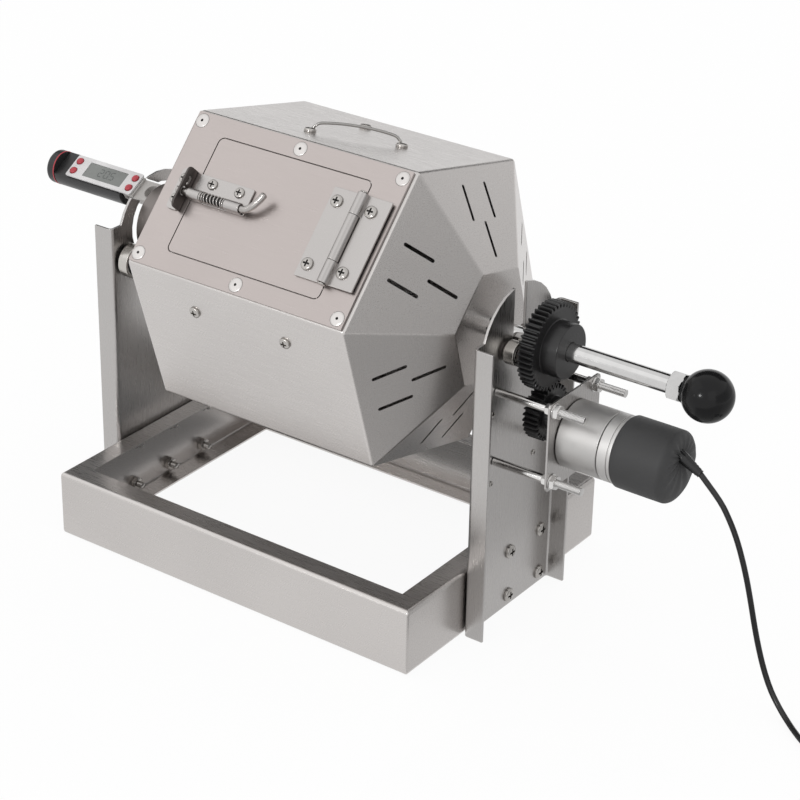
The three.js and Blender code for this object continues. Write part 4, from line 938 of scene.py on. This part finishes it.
class ROASTER_OT_latch(Operator):
    """Build the spring bolt on the door and its keeper on the frame plate"""

    bl_idname = "roaster.latch"
    bl_label = "Latch"

    def execute(self, context):
        head = cross_head(context.scene.roaster_fasteners.small_head / MM, height=1.4)
        top, plate_top = face_axes(0, DOOR_SURFACE), face_axes(0, DOOR_SURFACE + LATCH_PLATE)
        line, height, bolt, barrel = -1.5, 4.3, 1.9, 2.8
        shift = at(0, line, height)
        on_line = top @ shift
        start = -size_x("door_panel") / 2
        front_end, rear_start, rear_end = start + 8, start + 24.6, start + 34.4
        body = [slab(35.4, 15.2, 1.2, LOW, LATCH_PLATE, 0.2, start + 17.7, 3.4)]
        for x0, x1 in ((start, front_end), (rear_start, rear_end)):
            body.append(placed(tube(x0, x1, barrel, bolt + 0.25, 0.3, 36), shift))
            body.append(slab(x1 - x0 - 0.2, 0.6, 0.2, 0.4, height, 0.05, (x0 + x1) / 2, line - barrel + 0.34, 2))
        piece("latch_body", together(body), "door", "leaf", ("latch_plate",), matrix=top)
        collar = tube(front_end + 0.3, front_end + 1.3, barrel, bolt - 0.1, 0.2, 28)
        rod = together([*self.handle(start, rear_end, bolt), collar])
        piece("latch_rod", rod, "latch_bolt", "bolt", ("latch_bolt",), matrix=on_line)
        # A near-black sleeve over the bolt inside the spring: painted shade on the rod.
        sleeve = tube(front_end + 1.4, rear_start - 0.1, bolt + 0.02, bolt - 0.1, 0.05, 24)
        piece("latch_rod_shade", sleeve, "latch_bolt", "recess", matrix=on_line)
        spring_start, spring_end = front_end + 1.6, rear_start - 0.2
        spring = coil_spring(spring_start, spring_end, mean=bolt + 0.47, wire=0.85, curls=7.5)
        coil = piece("latch_coil", spring, None, "bolt", ("latch_spring",), 60, on_line)
        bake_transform(coil)
        cross_screws("latch", "", head, [(-39.4, 6.9), (-21.6, 6.9)], plate_top, "door")
        keeper_x, half, thick = start - 3.4, 11.7, 1.2
        upright = top @ axes_at((keeper_x - thick, 0, 0), (0, 1, 0), (1, 0, 0))
        outline = eased([(-half, LOW), (half, LOW), (half, 8.4), (-half, 8.4)], [0.1, 0.1, 3, 3], 5, True)
        eye = ring_of(bolt + 0.6, 24) + np.array((line, height))
        wall = pressed([outline, rounded(5, 2.4, 1.15, 5, 4.7, 4.2), eye], 0, thick, 0.2)
        piece("keeper_wall", wall, "drum", "keeper", ("latch_keeper",), matrix=upright)
        foot = slab(8.2, 2 * half, 2.2, LOW, LATCH_PLATE, 0.2, keeper_x - 4.9, steps=5)
        piece("keeper_foot", foot, "drum", "leaf", matrix=top)
        spots = [(keeper_x - 5.4, -5.8), (keeper_x - 5.4, 5.8)]
        cross_screws("keeper", "", head, spots, plate_top, "drum")
        return {"FINISHED"}

    def handle(self, start, rear_end, radius):
        """The bolt with its bent handle, which ends in a dome."""
        turn = rear_end + 1.8
        bend = [
            (start - 7.6, 0, 0), (start, 0, 0), (rear_end, 0, 0), (turn - 1, 0, 0), (turn + 2, 0.5, 0.3),
            (turn + 5, 2.8, 0.9), (turn + 7.4, 6, 1.5), (turn + 9.5, 9.6, 2.2),
        ]
        path = smooth_path(bend, 10)
        dome = radius * heading(np.linspace(0, math.pi / 2, 5))[:, ::-1] * (0.6, 1)
        ahead = Vector(path[-1] - path[-2]).to_track_quat("X", "Z").to_matrix().to_4x4()
        cap = placed(turned([(-radius, 0), *dome], 20), at(*bend[-1]) @ ahead)
        return carried(path, ring_of(radius, 20)), cap


class ROASTER_OT_bow(Operator):
    """Build the wire bow on the drum's top face and its screws"""

    bl_idname = "roaster.bow"
    bl_label = "Bow"

    def execute(self, context):
        top, feet = face_axes(5), np.array([(-14, -22.5, 1.05), (27.5, 1, 1.05)])
        along = np.array([0, 0.03, 0.1, 0.3, 0.5, 0.7, 0.9, 0.97, 1])[:, None]
        rise = np.array([0, 0.35, 0.72, 0.94, 1, 0.94, 0.72, 0.35, 0])[:, None]
        points = feet[0] + along * (feet[1] - feet[0]) + rise * np.array((0, 0, 5.5))
        wire = carried(smooth_path(points, 8), ring_of(0.78, 14), (0.4, -0.9, 0.1))
        piece("bow_wire", wire, "drum", "wire", ("bow_handle",), 60, top)
        head, spots = pan_head(radius=3.3, height=2.2, recess=False), [(-14.2, -23.4), (28.2, 0.2), (-10, 20.5)]
        piece("top_screws", at_places(head, spots, top), "drum", "screw")
        return {"FINISHED"}


# Bearings and drive


class ROASTER_OT_bearings(Operator):
    """Build the four ball bearings and the bolts that they turn on"""

    bl_idname = "roaster.bearings"
    bl_label = "Bearings"

    def execute(self, context):
        bore, gap, flats, bolt_radius = 3.1, 0.1, 8, 2.8
        for pair, radius, race in (("shaft", 6.5, 1.3), ("neck", 9.5, 1.8)):
            for side in ("front", "back"):
                node, bolt = pair + "_roller_" + side, pair + "_roller_bolt_" + side
                x0, width, spot = span(node)[0], size_x(node), middle(node)
                here = at(x0, spot.y, spot.z)
                outer = tube(0, width, radius, radius - race, 0.35, 64)
                inner = tube(0, width, bore + race, bore, 0.25, 40)
                piece(node + "_races", together([outer, inner]), node, "bearing", (node,), matrix=here)
                seal = tube(0.5, width - 0.5, radius - race + gap, bore + race - gap, 0.15, 48)
                piece(node + "_seal", seal, node, "dark", matrix=here)
                near, far = span(bolt)
                shank = bar(near + 1, far - 1, bolt_radius, 0.1, 28)
                spacer = tube(x0 - 1.5, x0 - 0.3, 4.6, bolt_radius, 0.15, 32)
                ends = [hex_piece(far - 3, far, flats), hex_piece(near, near + 4, flats + 1.2)]
                made = moved(together([shank, spacer, *ends]), 0, spot.y, spot.z)
                piece(bolt + "_set", made, "root", "dull", (bolt,))
        return {"FINISHED"}


def gear_outline(teeth, module, first, thickness=0.86, flank=6):
    """A gear's outline. On a tooth's flank, the half angle at a radius r is half the tooth's thickness over the
    pitch radius, plus the involute of the pressure angle, less the involute of the angle whose cosine is the base
    radius over r. The involute of an angle is its tangent less itself."""
    pitch, pressure = module * teeth / 2, math.radians(20)
    base = pitch * math.cos(pressure)
    r = np.linspace(pitch - 1.25 * module, pitch + module, flank)
    lean = np.arccos(np.clip(base / np.maximum(r, base), -1, 1))
    half = thickness * np.pi * module / 4 / pitch + math.tan(pressure) - pressure - (np.tan(lean) - lean)
    half = np.concatenate([[half[0] * 1.12], half[1:-1], [half[-1], half[-1] * 0.82]])
    r = np.concatenate([r, [r[-1] + 0.03 * module]])
    centre = around(teeth, first)[:, None]
    angles = np.concatenate([centre - half, centre + half[::-1]], 1)
    return (np.concatenate([r, r[::-1]])[:, None] * heading(angles)).reshape(-1, 2)


def toothed(teeth, module, first, x0, x1, hub_end, hub, bore):
    """A gear with a hub: its outline is carried along X and drawn in a little at both faces, then runs down to the
    hub, along it and back through the bore, as one closed surface with the teeth's own columns."""
    outline = gear_outline(teeth, module, first)
    circle = heading(np.arctan2(outline[:, 1], outline[:, 0]))
    soft, ease, pitch = 0.35, 0.3, module * teeth / 2
    rim = pitch - 2.6 * module
    drawn = outline * (1 - soft / pitch)
    rows = [(x0, drawn), (x0 + soft, outline), (x1 - soft, outline), (x1, drawn)]
    rows += [(x, circle * radius) for x, radius in (
        (x1, rim), (x1 - 0.15, rim - ease), (x1 - 0.15, hub + 0.5), (x1 + 0.15, hub), (hub_end - 0.6, hub),
        (hub_end - 0.15, hub - 0.2), (hub_end, hub - 0.6), (hub_end, bore + ease), (hub_end - ease, bore),
        (x0 + ease, bore), (x0, bore + ease),
    )]
    return skin(np.stack([np.column_stack([np.full(len(s), x), s]) for x, s in rows]), True)


class ROASTER_OT_drive(Operator):
    """Build the shaft, the gears, the nut and the ball knob"""

    bl_idname = "roaster.drive"
    bl_label = "Shaft and gears"

    def execute(self, context):
        drive, on_axis = context.scene.roaster_drive, at(z=AXIS_Z)
        x0, x1 = span("drive_shaft")
        flange = [(x0, 0), (x0, 15), (x0 + 3, 15), (x0 + 3, 5), (x1, 5), (x1, 0)]
        shaft = turned(eased(flange, [0, 0.4, 0.4, 0.6, 0.5, 0]), 64)
        piece("shaft_bar", shaft, "drum", "shaft", ("drive_shaft",), matrix=on_axis)
        teeth, few, width, bore = drive.gear_teeth, drive.pinion_teeth, 8.5, 5.05
        module = 45 / teeth
        x0, x1 = span("drive_gear")
        gear = toothed(teeth, module, -math.pi / 2, x0, x0 + width, x1, hub=14.6, bore=bore)
        piece("large_gear", gear, "drum", "nylon", ("drive_gear",), 30, on_axis)
        x0, x1 = span("pinion")
        low_axis = at(z=middle("pinion").z)
        small = toothed(few, module, math.pi / 2 + math.pi / few, x0, x0 + width, x1, hub=9, bore=3.05)
        piece("small_gear", small, "pinion", "nylon", ("pinion",), 30, low_axis)
        stub = bar(*span("gearbox_shaft"), radius=3, ease=0.4, sides=32)
        piece("small_shaft", stub, "pinion", "bright", ("gearbox_shaft",), matrix=low_axis)
        nut = hex_piece(*span("shaft_nut"), 14, bore)
        piece("knob_nut", nut, "drum", "shaft", ("shaft_nut",), matrix=on_axis)
        x0, x1 = span("ball_knob")
        radius, neck, hole, deep = 13.4, 7.3, 5.2, 8
        ball = radius * heading(np.linspace(math.pi - math.asin(neck / radius), 0, 30)) + (x1 - radius, 0)
        collar = [(x0 + deep, 0), (x0 + deep, hole), (x0, hole), (x0, neck - 0.3), (x0 + 0.3, neck)]
        knob = turned(np.concatenate([collar, ball]), 64)
        piece("knob_ball", knob, "drum", "gloss", ("ball_knob",), matrix=on_axis)
        return {"FINISHED"}


# Motor


def boot_shape(drive, start, end, radius):
    """The rubber boot: a turned cap. Its radius is a cosine's share of the full one over the rounded end. Folds, a
    cosine of the angle round the lead's exit, deepen over the end, and a dip sinks round the exit as
    exp(-(distance / 5 mm) squared)."""
    ease, flat = 6, np.linspace(0.9, 0, 12)
    wall = np.linspace(start + 0.8, end - ease, 10)
    t = np.linspace(0, np.pi / 2, 34)[1:]
    x = np.concatenate([[start, start], wall, end - ease + ease * np.sin(t), np.full(len(flat), end)])
    share = np.concatenate([[0.9, 0.965], np.ones(len(wall)), 0.3 + 0.7 * np.cos(t), 0.3 * flat])
    bulge = 1 + 0.004 * np.sin(np.pi * np.clip((x - start) / (end - start), 0, 1))
    y, z = radius * (share * bulge)[:, None] * heading(around(216)).T[:, None]
    up = GLAND_UP - 11 * math.sin(GLAND_TILT)
    away, round_exit = np.hypot(y, z - up), np.arctan2(z - up, y)
    deepen = np.clip((1 - share) / 0.3, 0, 1)[:, None] * np.clip(1.25 - away / 20, 0, 1)
    folds = np.cos(15 * round_exit + 1.3 * np.sin(2 * round_exit)) + 0.6 * np.cos(8 * round_exit + 2)
    sunk = deepen * (drive.fold_depth / MM * (1.6 - folds) / 2 + 1.1 * np.exp(-((away / 5) ** 2)))
    return skin(np.stack([x[:, None] - sunk, y, z], -1))


class ROASTER_OT_motor(Operator):
    """Build the motor plate, its stand-off rods, the gearbox, the motor and its boot"""

    bl_idname = "roaster.motor"
    bl_label = "Motor"

    def execute(self, context):
        low, high = box("motor_plate")
        wide, tall, axis_z = high.y - low.y, high.z - low.z, (low.z + high.z) / 2
        axis, up, signs = at(z=axis_z), middle("pinion").z - axis_z, (-1, 1)
        corners = [np.array((s * (wide / 2 - 4.8), t * (tall / 2 - 4.8))) for s in signs for t in signs]
        holes = [ring_of(7.5, 40) + np.array((0, up)), *(ring_of(2.6, 24) + corner for corner in corners)]
        plate = pressed([rounded(wide, tall, 2.4, 5), *holes], 0, high.x - low.x, 0.15)
        flat = axes_at((low.x, 0, axis_z), (0, 1, 0), (1, 0, 0))
        piece("motor_mount", plate, "root", "sheet_z", ("motor_plate",), matrix=flat)
        clear, nut = 0.2, 3.5  # from the plate to a nut's near and far side
        for corner in ("upper_front", "upper_back", "lower_front", "lower_back"):
            node = "standoff_rod_" + corner
            (x0, x1), spot = span(node), middle(node)
            made = moved(together([
                bar(x0, low.x - 0.3, 2.3, 0.2, 32),
                hex_piece(low.x - nut, low.x - clear, flats=5.6),
                hex_piece(high.x + clear, high.x + nut, flats=7),
                threaded(low.x - 0.4, x1 - 0.2, radius=2.15, pitch=0.7),
                tube(high.x + 0.05, high.x + 0.5, 4.2, 2.2, 0.1, 32),
            ]), 0, spot.y, spot.z)
            piece(node + "_set", made, "root", "bright", (node,))
        x0, x1 = span("gearbox")
        radius, start = 18.2, x1 - 24
        boss = moved(tube(x0, start + 1, outer=6, inner=3.3, ease=0.4), z=up)
        ears = [moved(bar(start - 0.2, start + 0.5, 2.4, 0.2, 24), 0, s * 10, t * 10) for s in signs for t in signs]
        case = together([bar(start, x1, radius, 0.6, 96), boss, *ears])
        piece("gearbox_case", case, "root", "alloy", ("gearbox",), matrix=axis)
        x0, x1 = span("motor_can")
        seam, dip, slim = x0 + 7.7, radius - 0.5, radius - 1
        profile = (
            (x0, 0, 0), (x0, radius, 0.5), (seam - 2.2, radius, 0.15), (seam - 2.2, dip, 0.1), (seam - 1.6, dip, 0.1),
            (seam - 1.6, radius, 0.15), (seam, radius, 0.3), (seam, slim, 0.1), (x1, slim, 1.5), (x1, 0, 0),
        )
        can = eased([corner[:2] for corner in profile], [corner[2] for corner in profile], 3)
        piece("motor_casing", turned(can, 96), "root", "can", ("motor_can",), matrix=axis)
        boot = boot_shape(context.scene.roaster_drive, *span("motor_boot"), radius=19.2)
        piece("boot_cap", boot, "root", "rubber", ("motor_boot",), 60, axis)
        return {"FINISHED"}


# Thermometer


def segments(shown, x, height=5, width=2.7, stroke=0.5):
    """A seven-stroke digit: the strokes that it shows are short bars."""
    a, b, c = width / 2, height / 2, height / 4
    spots = {"a": (0, b), "b": (a, c), "c": (a, -c), "d": (0, -b), "e": (-a, -c), "f": (-a, c), "g": (0, 0)}
    made = []
    for name in shown:
        dx, dy = spots[name]
        size = (stroke, height / 2 - stroke) if dx else (width - stroke, stroke)
        made.append(slab(*size, 0.3 * stroke, 0, 0.05, 0.01, x + dx, 0.2 + dy, 1))
    return together(made)


class ROASTER_OT_thermometer(Operator):
    """Build the pen thermometer with its face, display, buttons and probe"""

    bl_idname = "roaster.thermometer"
    bl_label = "Thermometer"

    def execute(self, context):
        probe, tilt = middle("thermometer_probe"), math.radians(31)
        here = axes_at((0, probe.y, probe.z), (1, 0, 0), (0, -math.sin(tilt), math.cos(tilt)))
        radius, flat = 9.7, 4.8  # of the barrel, and the height of its flat side over the middle

        def part(name, shape, look, node=None, sharp=38):
            """A piece in the thermometer's own frame."""
            piece(name, shape, "thermometer", look, ("thermometer_" + node,) if node else (), sharp, here)

        x0, x1 = span("thermometer_body")
        radii = np.array([radius - 0.3, radius, radius, radius - 0.4])[:, None]
        y, z = radii * heading(around(96, np.pi / 2)).T[:, None]
        barrel = about_x(np.array([x0, x0 + 0.3, x1 - 0.4, x1]), (y, np.minimum(z, flat)))
        part("thermometer_barrel", skin(barrel), "handle", "body", 30)
        x0, x1 = span("thermometer_cap")
        cap = turned(eased([(x0, 0), (x0, radius), (x1, radius), (x1, 0)], [0, 2.2, 0.3, 0], 6), 72)
        part("thermometer_end", cap, "handle", "cap")
        part("thermometer_band", tube(x1 - 0.75, x1 - 0.05, radius + 0.1, radius - 0.5, 0.1, 72), "red")
        x0, x1 = span("thermometer_tab")
        width, open_top = 13.4, flat - 1.6
        tab = slab(x1 - x0, width, 2.2, open_top - 5, open_top, 0.5, (x0 + x1) / 2, steps=5)
        bed = slab(8, width, 0.4, open_top - 4, flat, 0.2, x0 + 4, steps=2)
        hole = placed(bar(-1, 12, 4.4, 0.01, 40), at(x1 - 8.1, 0, open_top - 7) @ UPRIGHT)
        part("thermometer_holder", together([carved(tab, hole), bed]), "tab", "tab")
        x0, x1 = span("thermometer_face")
        low, high, centre = flat + 0.3, flat + 1.5, (x0 + x1) / 2 + 0.7
        spots = [sum(span(name + "_button")) / 2 for name in ("power", "hold")]
        holes = [ring_of(2.4, 24) + np.array((x, s * 3.5)) for x in spots for s in (-1, 1)]
        outlines = [rounded(x1 - x0, 15.2, 1, 4, (x0 + x1) / 2), rounded(28.3, 10.1, 0.3, 2, centre), *holes]
        part("thermometer_front", pressed(outlines, low, high, 0.15), "face", "face")
        part("display_glass", slab(28.1, 9.9, 0.3, low, high - 0.25, 0.1, centre, steps=2), "screen")
        digits = [segments(shown, centre + x) for shown, x in (("abged", -3.4), ("abcdef", 0.8), ("afgcd", 5))]
        point = slab(0.6, 0.6, 0.2, 0, 0.05, 0.01, centre + 2.9, -2.3, 2)
        part("display_digits", moved(together([*digits, point]), z=high - 0.27), "digit")
        key_radius, foot = 2.1, high - 1.7
        dome = heading(np.linspace(0, np.pi / 2, 7))[:, ::-1] * (0.85, key_radius) + (high + 0.4, 0)
        key = placed(turned(np.concatenate([[(foot, 0), (foot, key_radius)], dome]), 32), UPRIGHT)
        for name in ("power", "unit", "hold", "memory"):
            node = name + "_button"
            spot = here.inverted() @ middle(node)
            piece(name + "_key", moved(key, spot.x, spot.y), node, "red", (node,), 60, here)
        (x0, x1), thin = span("thermometer_probe"), 1.75
        line = eased([(x0, 0), (x0, thin), (x1 - 7, thin), (x1, 0.45), (x1, 0)], [0, 0.1, 2, 0.3, 0])
        part("probe_rod", turned(line, 32), "bright", "probe")
        return {"FINISHED"}


# Mains lead

# The lead's free stretch, as in the solids, along the middle of the cord
LEAD_POINTS = np.array([
    (243.4, 0, 106.8), (249.2, 0, 98.8), (254.2, 0, 89.6), (258.4, 0, 79.4), (262.2, 0, 68.2), (265.6, 0, 56.2),
    (268.9, -0.1, 44), (272.6, -0.3, 32), (277, -0.8, 20.8), (282.4, -1.8, 11.2), (289, -4.2, 5), (296.2, -8.6, 2.2),
    (303.3, -14.2, 1.8), (310.8, -19.6, 1.8), (319, -23.8, 2), (328, -26.6, 2.3),
])
GLAND_TILT = math.radians(29)
GLAND_UP = 11.6  # its inner end, above the motor's axis
GLAND_LENGTH = 22  # half of it is inside the boot's end


def lead_path():
    """The lead's middle line from the gland's tip to the plug. The coil's radius grows by a pitch each turn on both
    sides of its innermost place, and it climbs by one pitch over the half turn in between."""
    reach = GLAND_LENGTH * np.array([math.cos(GLAND_TILT) / 2, 0, -math.sin(GLAND_TILT)])
    tip = np.array([span("motor_boot")[1] - STAND_X, 0, middle("motor_plate").z + GLAND_UP]) + reach
    entry = math.radians(258)
    outwards, towards = (np.append(heading(angle), 0) for angle in (entry, entry + np.pi / 2))
    pitch, layer, loop, inner, straight = 3.6, 95, 24, 11, 3
    start = LEAD_POINTS[-1] + straight * towards
    start[2] = 2.7
    heart = start + straight * towards - (inner + layer * pitch / loop) * outwards
    i = np.arange(2 * layer + loop // 2 + 1)
    radius = inner + pitch * (np.abs(i - i[-1] / 2) - loop / 4) / loop
    climb = pitch * np.clip((i - layer) / (loop / 2), 0, 1)
    coil = heart + np.column_stack([radius[:, None] * heading(entry + 2 * np.pi * i / loop), climb])
    leave = unit(coil[-1] - coil[-2])
    tail = coil[-1] + leave * np.linspace(0, 26, 6)[1:, None]
    return smooth_path(np.concatenate([[tip], LEAD_POINTS, [start], coil, tail]), 3) + (STAND_X, 0, 0), leave


class ROASTER_OT_lead(Operator):
    """Build the mains lead, its gland, coil, tie and plug"""

    bl_idname = "roaster.lead"
    bl_label = "Mains lead"

    def execute(self, context):
        lead = context.scene.roaster_lead
        path, leave = lead_path()
        round_lead = carried(path, ring_of(lead.radius / MM, lead.sides))
        cord = piece("mains_lead", round_lead, "root", "cord", ("lead", "lead_coil"), 60)
        inside = GLAND_LENGTH / 2 * math.cos(GLAND_TILT)
        root = at(span("motor_boot")[1] - inside, 0, middle("motor_plate").z + GLAND_UP)
        steps = np.linspace(0, 1, 25)
        r = np.interp(steps, [0, 0.5, 1], [3.3, 3.3, 2.1])
        r -= 0.2 * (np.cos(24 * np.pi * (steps - 0.5)) < -0.2) * (steps > 0.52)
        profile = [*np.stack([GLAND_LENGTH * steps, r], -1), (GLAND_LENGTH, 1.6), (0, 1.6)]
        tilted = root @ Matrix.Rotation(GLAND_TILT, 4, "Y")
        piece("gland_sleeve", turned(profile, 36, True), "root", "cord", ("lead_gland",), 40, tilted)
        tie = softened("lead_tie", "root", "nylon", 0.25, 40)
        plug = self.plug(path[-1], leave)
        path = path * MM
        return {"FINISHED"}

    def plug(self, end, leave):
        """The plug's body widens from a narrow nose, and its two round pins have plastic sleeves."""
        along = at(end[0], end[1], 6.5) @ Matrix.Rotation(math.atan2(leave[1], leave[0]), 4, "Z")
        x = np.array([0.3, 0.8, 2.2, 5, 9, 14, 20, 26, 31, 33.2, 34])
        wide = np.array([13.5, 15.4, 16.6, 18, 20, 22.2, 24.2, 25.4, 25.8, 25.4, 24.4]) / 2
        thick = np.array([9.5, 11, 11.8, 12.4, 12.8, 13, 13, 13, 13, 12.7, 11.8]) / 2
        cosine, sine = heading(around(64)).T
        squarish = (np.abs(cosine) ** 4 + np.abs(sine) ** 4) ** -0.25
        y = np.clip(wide[:, None] * squarish * cosine, -13, 13)
        z = np.clip(thick[:, None] * squarish * sine, -6.5, 6.5)
        body = piece("plug_body", skin(about_x(x, (y, z))), "root", "cord", ("lead_plug",), 50, along)
        pins, sleeves = (
            together([moved(shape, 0, y) for y in (-9.5, 9.5)])
            for shape in (bar(33, 52, 2.1, 0.9, 28), tube(33, 43, 2.3, 2, 0.1, 28))
        )
        metal = piece("plug_pins", pins, "root", "bright", matrix=along)
        sleeve = piece("plug_sleeves", sleeves, "root", "cord", matrix=along)
        return [body, metal, sleeve]


# Stage

WHITE = (1, 1, 1, 1)


def either(tree, first, second):
    """A node's output that is one where either of two is."""
    return added(tree, "Math", {0: first, 1: second}, operation="MAXIMUM").outputs[0]


def mixed(tree, share, first, second):
    """The output of a shader that mixes two others."""
    return added(tree, "MixShader", {0: share, 1: first.outputs[0], 2: second.outputs[0]}).outputs["Shader"]


class ROASTER_OT_stage(Operator):
    """Build the floor, the lamps, the grey cards, the world and the camera"""

    bl_idname = "roaster.stage"
    bl_label = "Stage"

    def execute(self, context):
        scene, stage = context.scene, context.scene.roaster_stage
        self.floor()
        self.lamps(scene, stage)
        self.cards(stage.card)
        self.world(scene, stage)
        self.camera(scene)
        scene.view_settings.view_transform = "Standard"
        return {"FINISHED"}

    def floor(self):
        """A pale plane: the camera sees mostly its white, with some of the object's shadow."""
        size, height = 6000, -0.2
        corners = [(-size, -size, height), (size, -size, height), (size, size, height), (-size, size, height)]
        floor = object_of("floor", (np.array(corners), [[0, 1, 2, 3]]))
        made, tree = new_material("floor_white")
        shader = fed(tree, tree.nodes["Principled BSDF"], {"Base Color": (0.86, 0.86, 0.86, 1), "Roughness": 0.9})
        glow = added(tree, "Emission", {"Color": WHITE, "Strength": 1.02})
        rays = added(tree, "LightPath", {}).outputs
        seen = either(tree, rays["Is Camera Ray"], rays["Is Glossy Ray"])
        part = added(tree, "Math", {0: seen, 1: 0.9}, operation="MULTIPLY")
        fed(tree, tree.nodes["Material Output"], {"Surface": mixed(tree, part.outputs[0], shader, glow)})
        floor.data.materials.append(made)

    def lamps(self, scene, stage):
        """Two softboxes above the left front and the right, and two small lamps that only reflections see."""
        aim = Vector((0, 0, 0.12))
        for name, place, size, power, lights in (
            ("key_lamp", (-0.94, -0.94, 1.4), 1.4, stage.lamp, True),
            ("fill_lamp", (1.2, -0.9, 0.9), 1.0, stage.fill, True),
            ("small_lamp", (-0.02, -1.47, 0.77), 0.18, stage.spark, False),
            ("streak_lamp", (-0.78, -1.49, 0.54), 0.08, stage.streak, False),
        ):
            data = bpy.data.lights.new(name, "AREA")
            data.shape, data.size, data.energy = "SQUARE", size, power
            lamp = bpy.data.objects.new(name, data)
            lamp.location = place
            lamp.rotation_euler = (aim - Vector(place)).to_track_quat("-Z", "Y").to_euler()
            lamp.visible_diffuse = lights
            scene.collection.objects.link(lamp)

    def cards(self, grey):
        """A dark board high behind, two round walls beside and behind, and four boards on the ground."""
        self.card("dark_board", [(-3200, 1600, 980), (1200, 2600, 980), (1200, 2200, 2800), (-3200, 1200, 2800)], 0.03)
        for name, first, last, share in (("side_wall", -25, 30, 0.8), ("back_wall", 30, 64, 1)):
            foot = 1600 * heading(np.radians(np.linspace(first, last, 12)))
            low, high = (np.column_stack([foot, np.full(len(foot), z)]) for z in (2, 850))
            self.card(name, np.concatenate([low, high[::-1]]), share * grey)
        lift = 0.6
        for name, x0, x1, y0, y1, share in (
            ("near_ground", 99, 138, -300, 300, 1.35),
            ("front_ground", 138, 900, -300, 0, 0.78),
            ("back_ground", 138, 900, 0, 900, 1.08),
            ("dark_ground", -125, 80, -72, 72, 0.3),
        ):
            self.card(name, [(x0, y0, lift), (x1, y0, lift), (x1, y1, lift), (x0, y1, lift)], share * grey)

    def card(self, name, outline, strength):
        """A board of even brightness that only reflections see: its outline goes there and back."""
        points = np.array(outline, float)
        last = len(points) - 1
        board = object_of(name, (points, [[i, i + 1, last - 1 - i, last - i] for i in range(last // 2)]))
        made, tree = new_material(name)
        glow = added(tree, "Emission", {"Strength": strength})
        fed(tree, tree.nodes["Material Output"], {"Surface": glow.outputs["Emission"]})
        board.data.materials.append(made)
        board.visible_camera = board.visible_diffuse = board.visible_shadow = board.visible_transmission = False

    def world(self, scene, stage):
        """White where the camera, a reflection or a transmission looks past the object, and softer for light."""
        scene.world = bpy.data.worlds.new("studio")
        scene.world.use_nodes = True
        tree = scene.world.node_tree
        back = fed(tree, tree.nodes["Background"], {"Color": WHITE, "Strength": stage.world})
        seen = added(tree, "Background", {"Color": WHITE, "Strength": 1.0})
        rays = added(tree, "LightPath", {}).outputs
        straight = either(tree, rays["Is Camera Ray"], rays["Is Transmission Ray"])
        share = either(tree, straight, rays["Is Glossy Ray"])
        fed(tree, tree.nodes["World Output"], {"Surface": mixed(tree, share, back, seen)})

    def camera(self, scene):
        """The photograph's camera: its direction, roll, place and lens were fitted to the base frame's corners."""
        azimuth, elevation, roll = (math.radians(v) for v in (35.43, 27.29, 1.16))
        level = math.cos(elevation)
        back = Vector((math.sin(azimuth) * level, -math.cos(azimuth) * level, math.sin(elevation)))
        right = Vector((math.cos(azimuth), math.sin(azimuth), 0))
        up = back.cross(right)
        side = math.cos(roll) * right + math.sin(roll) * up
        top = -math.sin(roll) * right + math.cos(roll) * up
        data = bpy.data.cameras.new("photo_camera")
        data.sensor_width, data.lens = 36.0, 110.23
        data.clip_start, data.clip_end = 0.05, 50
        camera = bpy.data.objects.new("photo_camera", data)
        place = (40.64 * side + 76.19 * top + 1386.91 * back + Vector((STAND_X, 0, 0))) * MM
        camera.matrix_world = Matrix.Translation(place) @ Matrix((side, top, back)).transposed().to_4x4()
        scene.collection.objects.link(camera)
        scene.camera = camera


class ROASTER_PT_panel(Panel):
    """Lists the roaster's settings and its builders"""

    bl_label = "Coffee bean roaster"
    bl_idname = "ROASTER_PT_panel"
    bl_space_type = "VIEW_3D"
    bl_region_type = "UI"
    bl_category = "Roaster"

    def draw(self, context):
        scene = context.scene
        for group in ("finish", "sheet", "fasteners", "drive", "lead", "stage"):
            settings = getattr(scene, "roaster_" + group)
            box = self.layout.box()
            for name in settings.bl_rna.properties.keys():
                if name not in ("rna_type", "name"):
                    box.prop(settings, name)
        for operator in OPERATORS:
            self.layout.operator(operator.bl_idname)


GROUPS = {
    "roaster_finish": RoasterFinish,
    "roaster_sheet": RoasterSheet,
    "roaster_fasteners": RoasterFasteners,
    "roaster_drive": RoasterDrive,
    "roaster_lead": RoasterLead,
    "roaster_stage": RoasterStage,
}
OPERATORS = (
    ROASTER_OT_stage,
    ROASTER_OT_lead,
    ROASTER_OT_stand,
    ROASTER_OT_drum,
    ROASTER_OT_door,
    ROASTER_OT_latch,
    ROASTER_OT_bow,
    ROASTER_OT_bearings,
    ROASTER_OT_drive,
    ROASTER_OT_motor,
    ROASTER_OT_thermometer,
)


def register():
    """Registers the settings, the builders and the panel."""
    for made in (*GROUPS.values(), *OPERATORS, ROASTER_PT_panel):
        bpy.utils.register_class(made)
    for name, group in GROUPS.items():
        setattr(bpy.types.Scene, name, PointerProperty(type=group))


def unregister():
    """Takes them away again."""
    for name in GROUPS:
        delattr(bpy.types.Scene, name)
    for made in (ROASTER_PT_panel, *OPERATORS[::-1], *list(GROUPS.values())[::-1]):
        bpy.utils.unregister_class(made)


def main():
    """Builds everything in order."""
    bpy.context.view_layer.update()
    register()
    for operator in OPERATORS:
        group, name = operator.bl_idname.split(".")
        getattr(getattr(bpy.ops, group), name)()


if __name__ == "__main__":
    main()
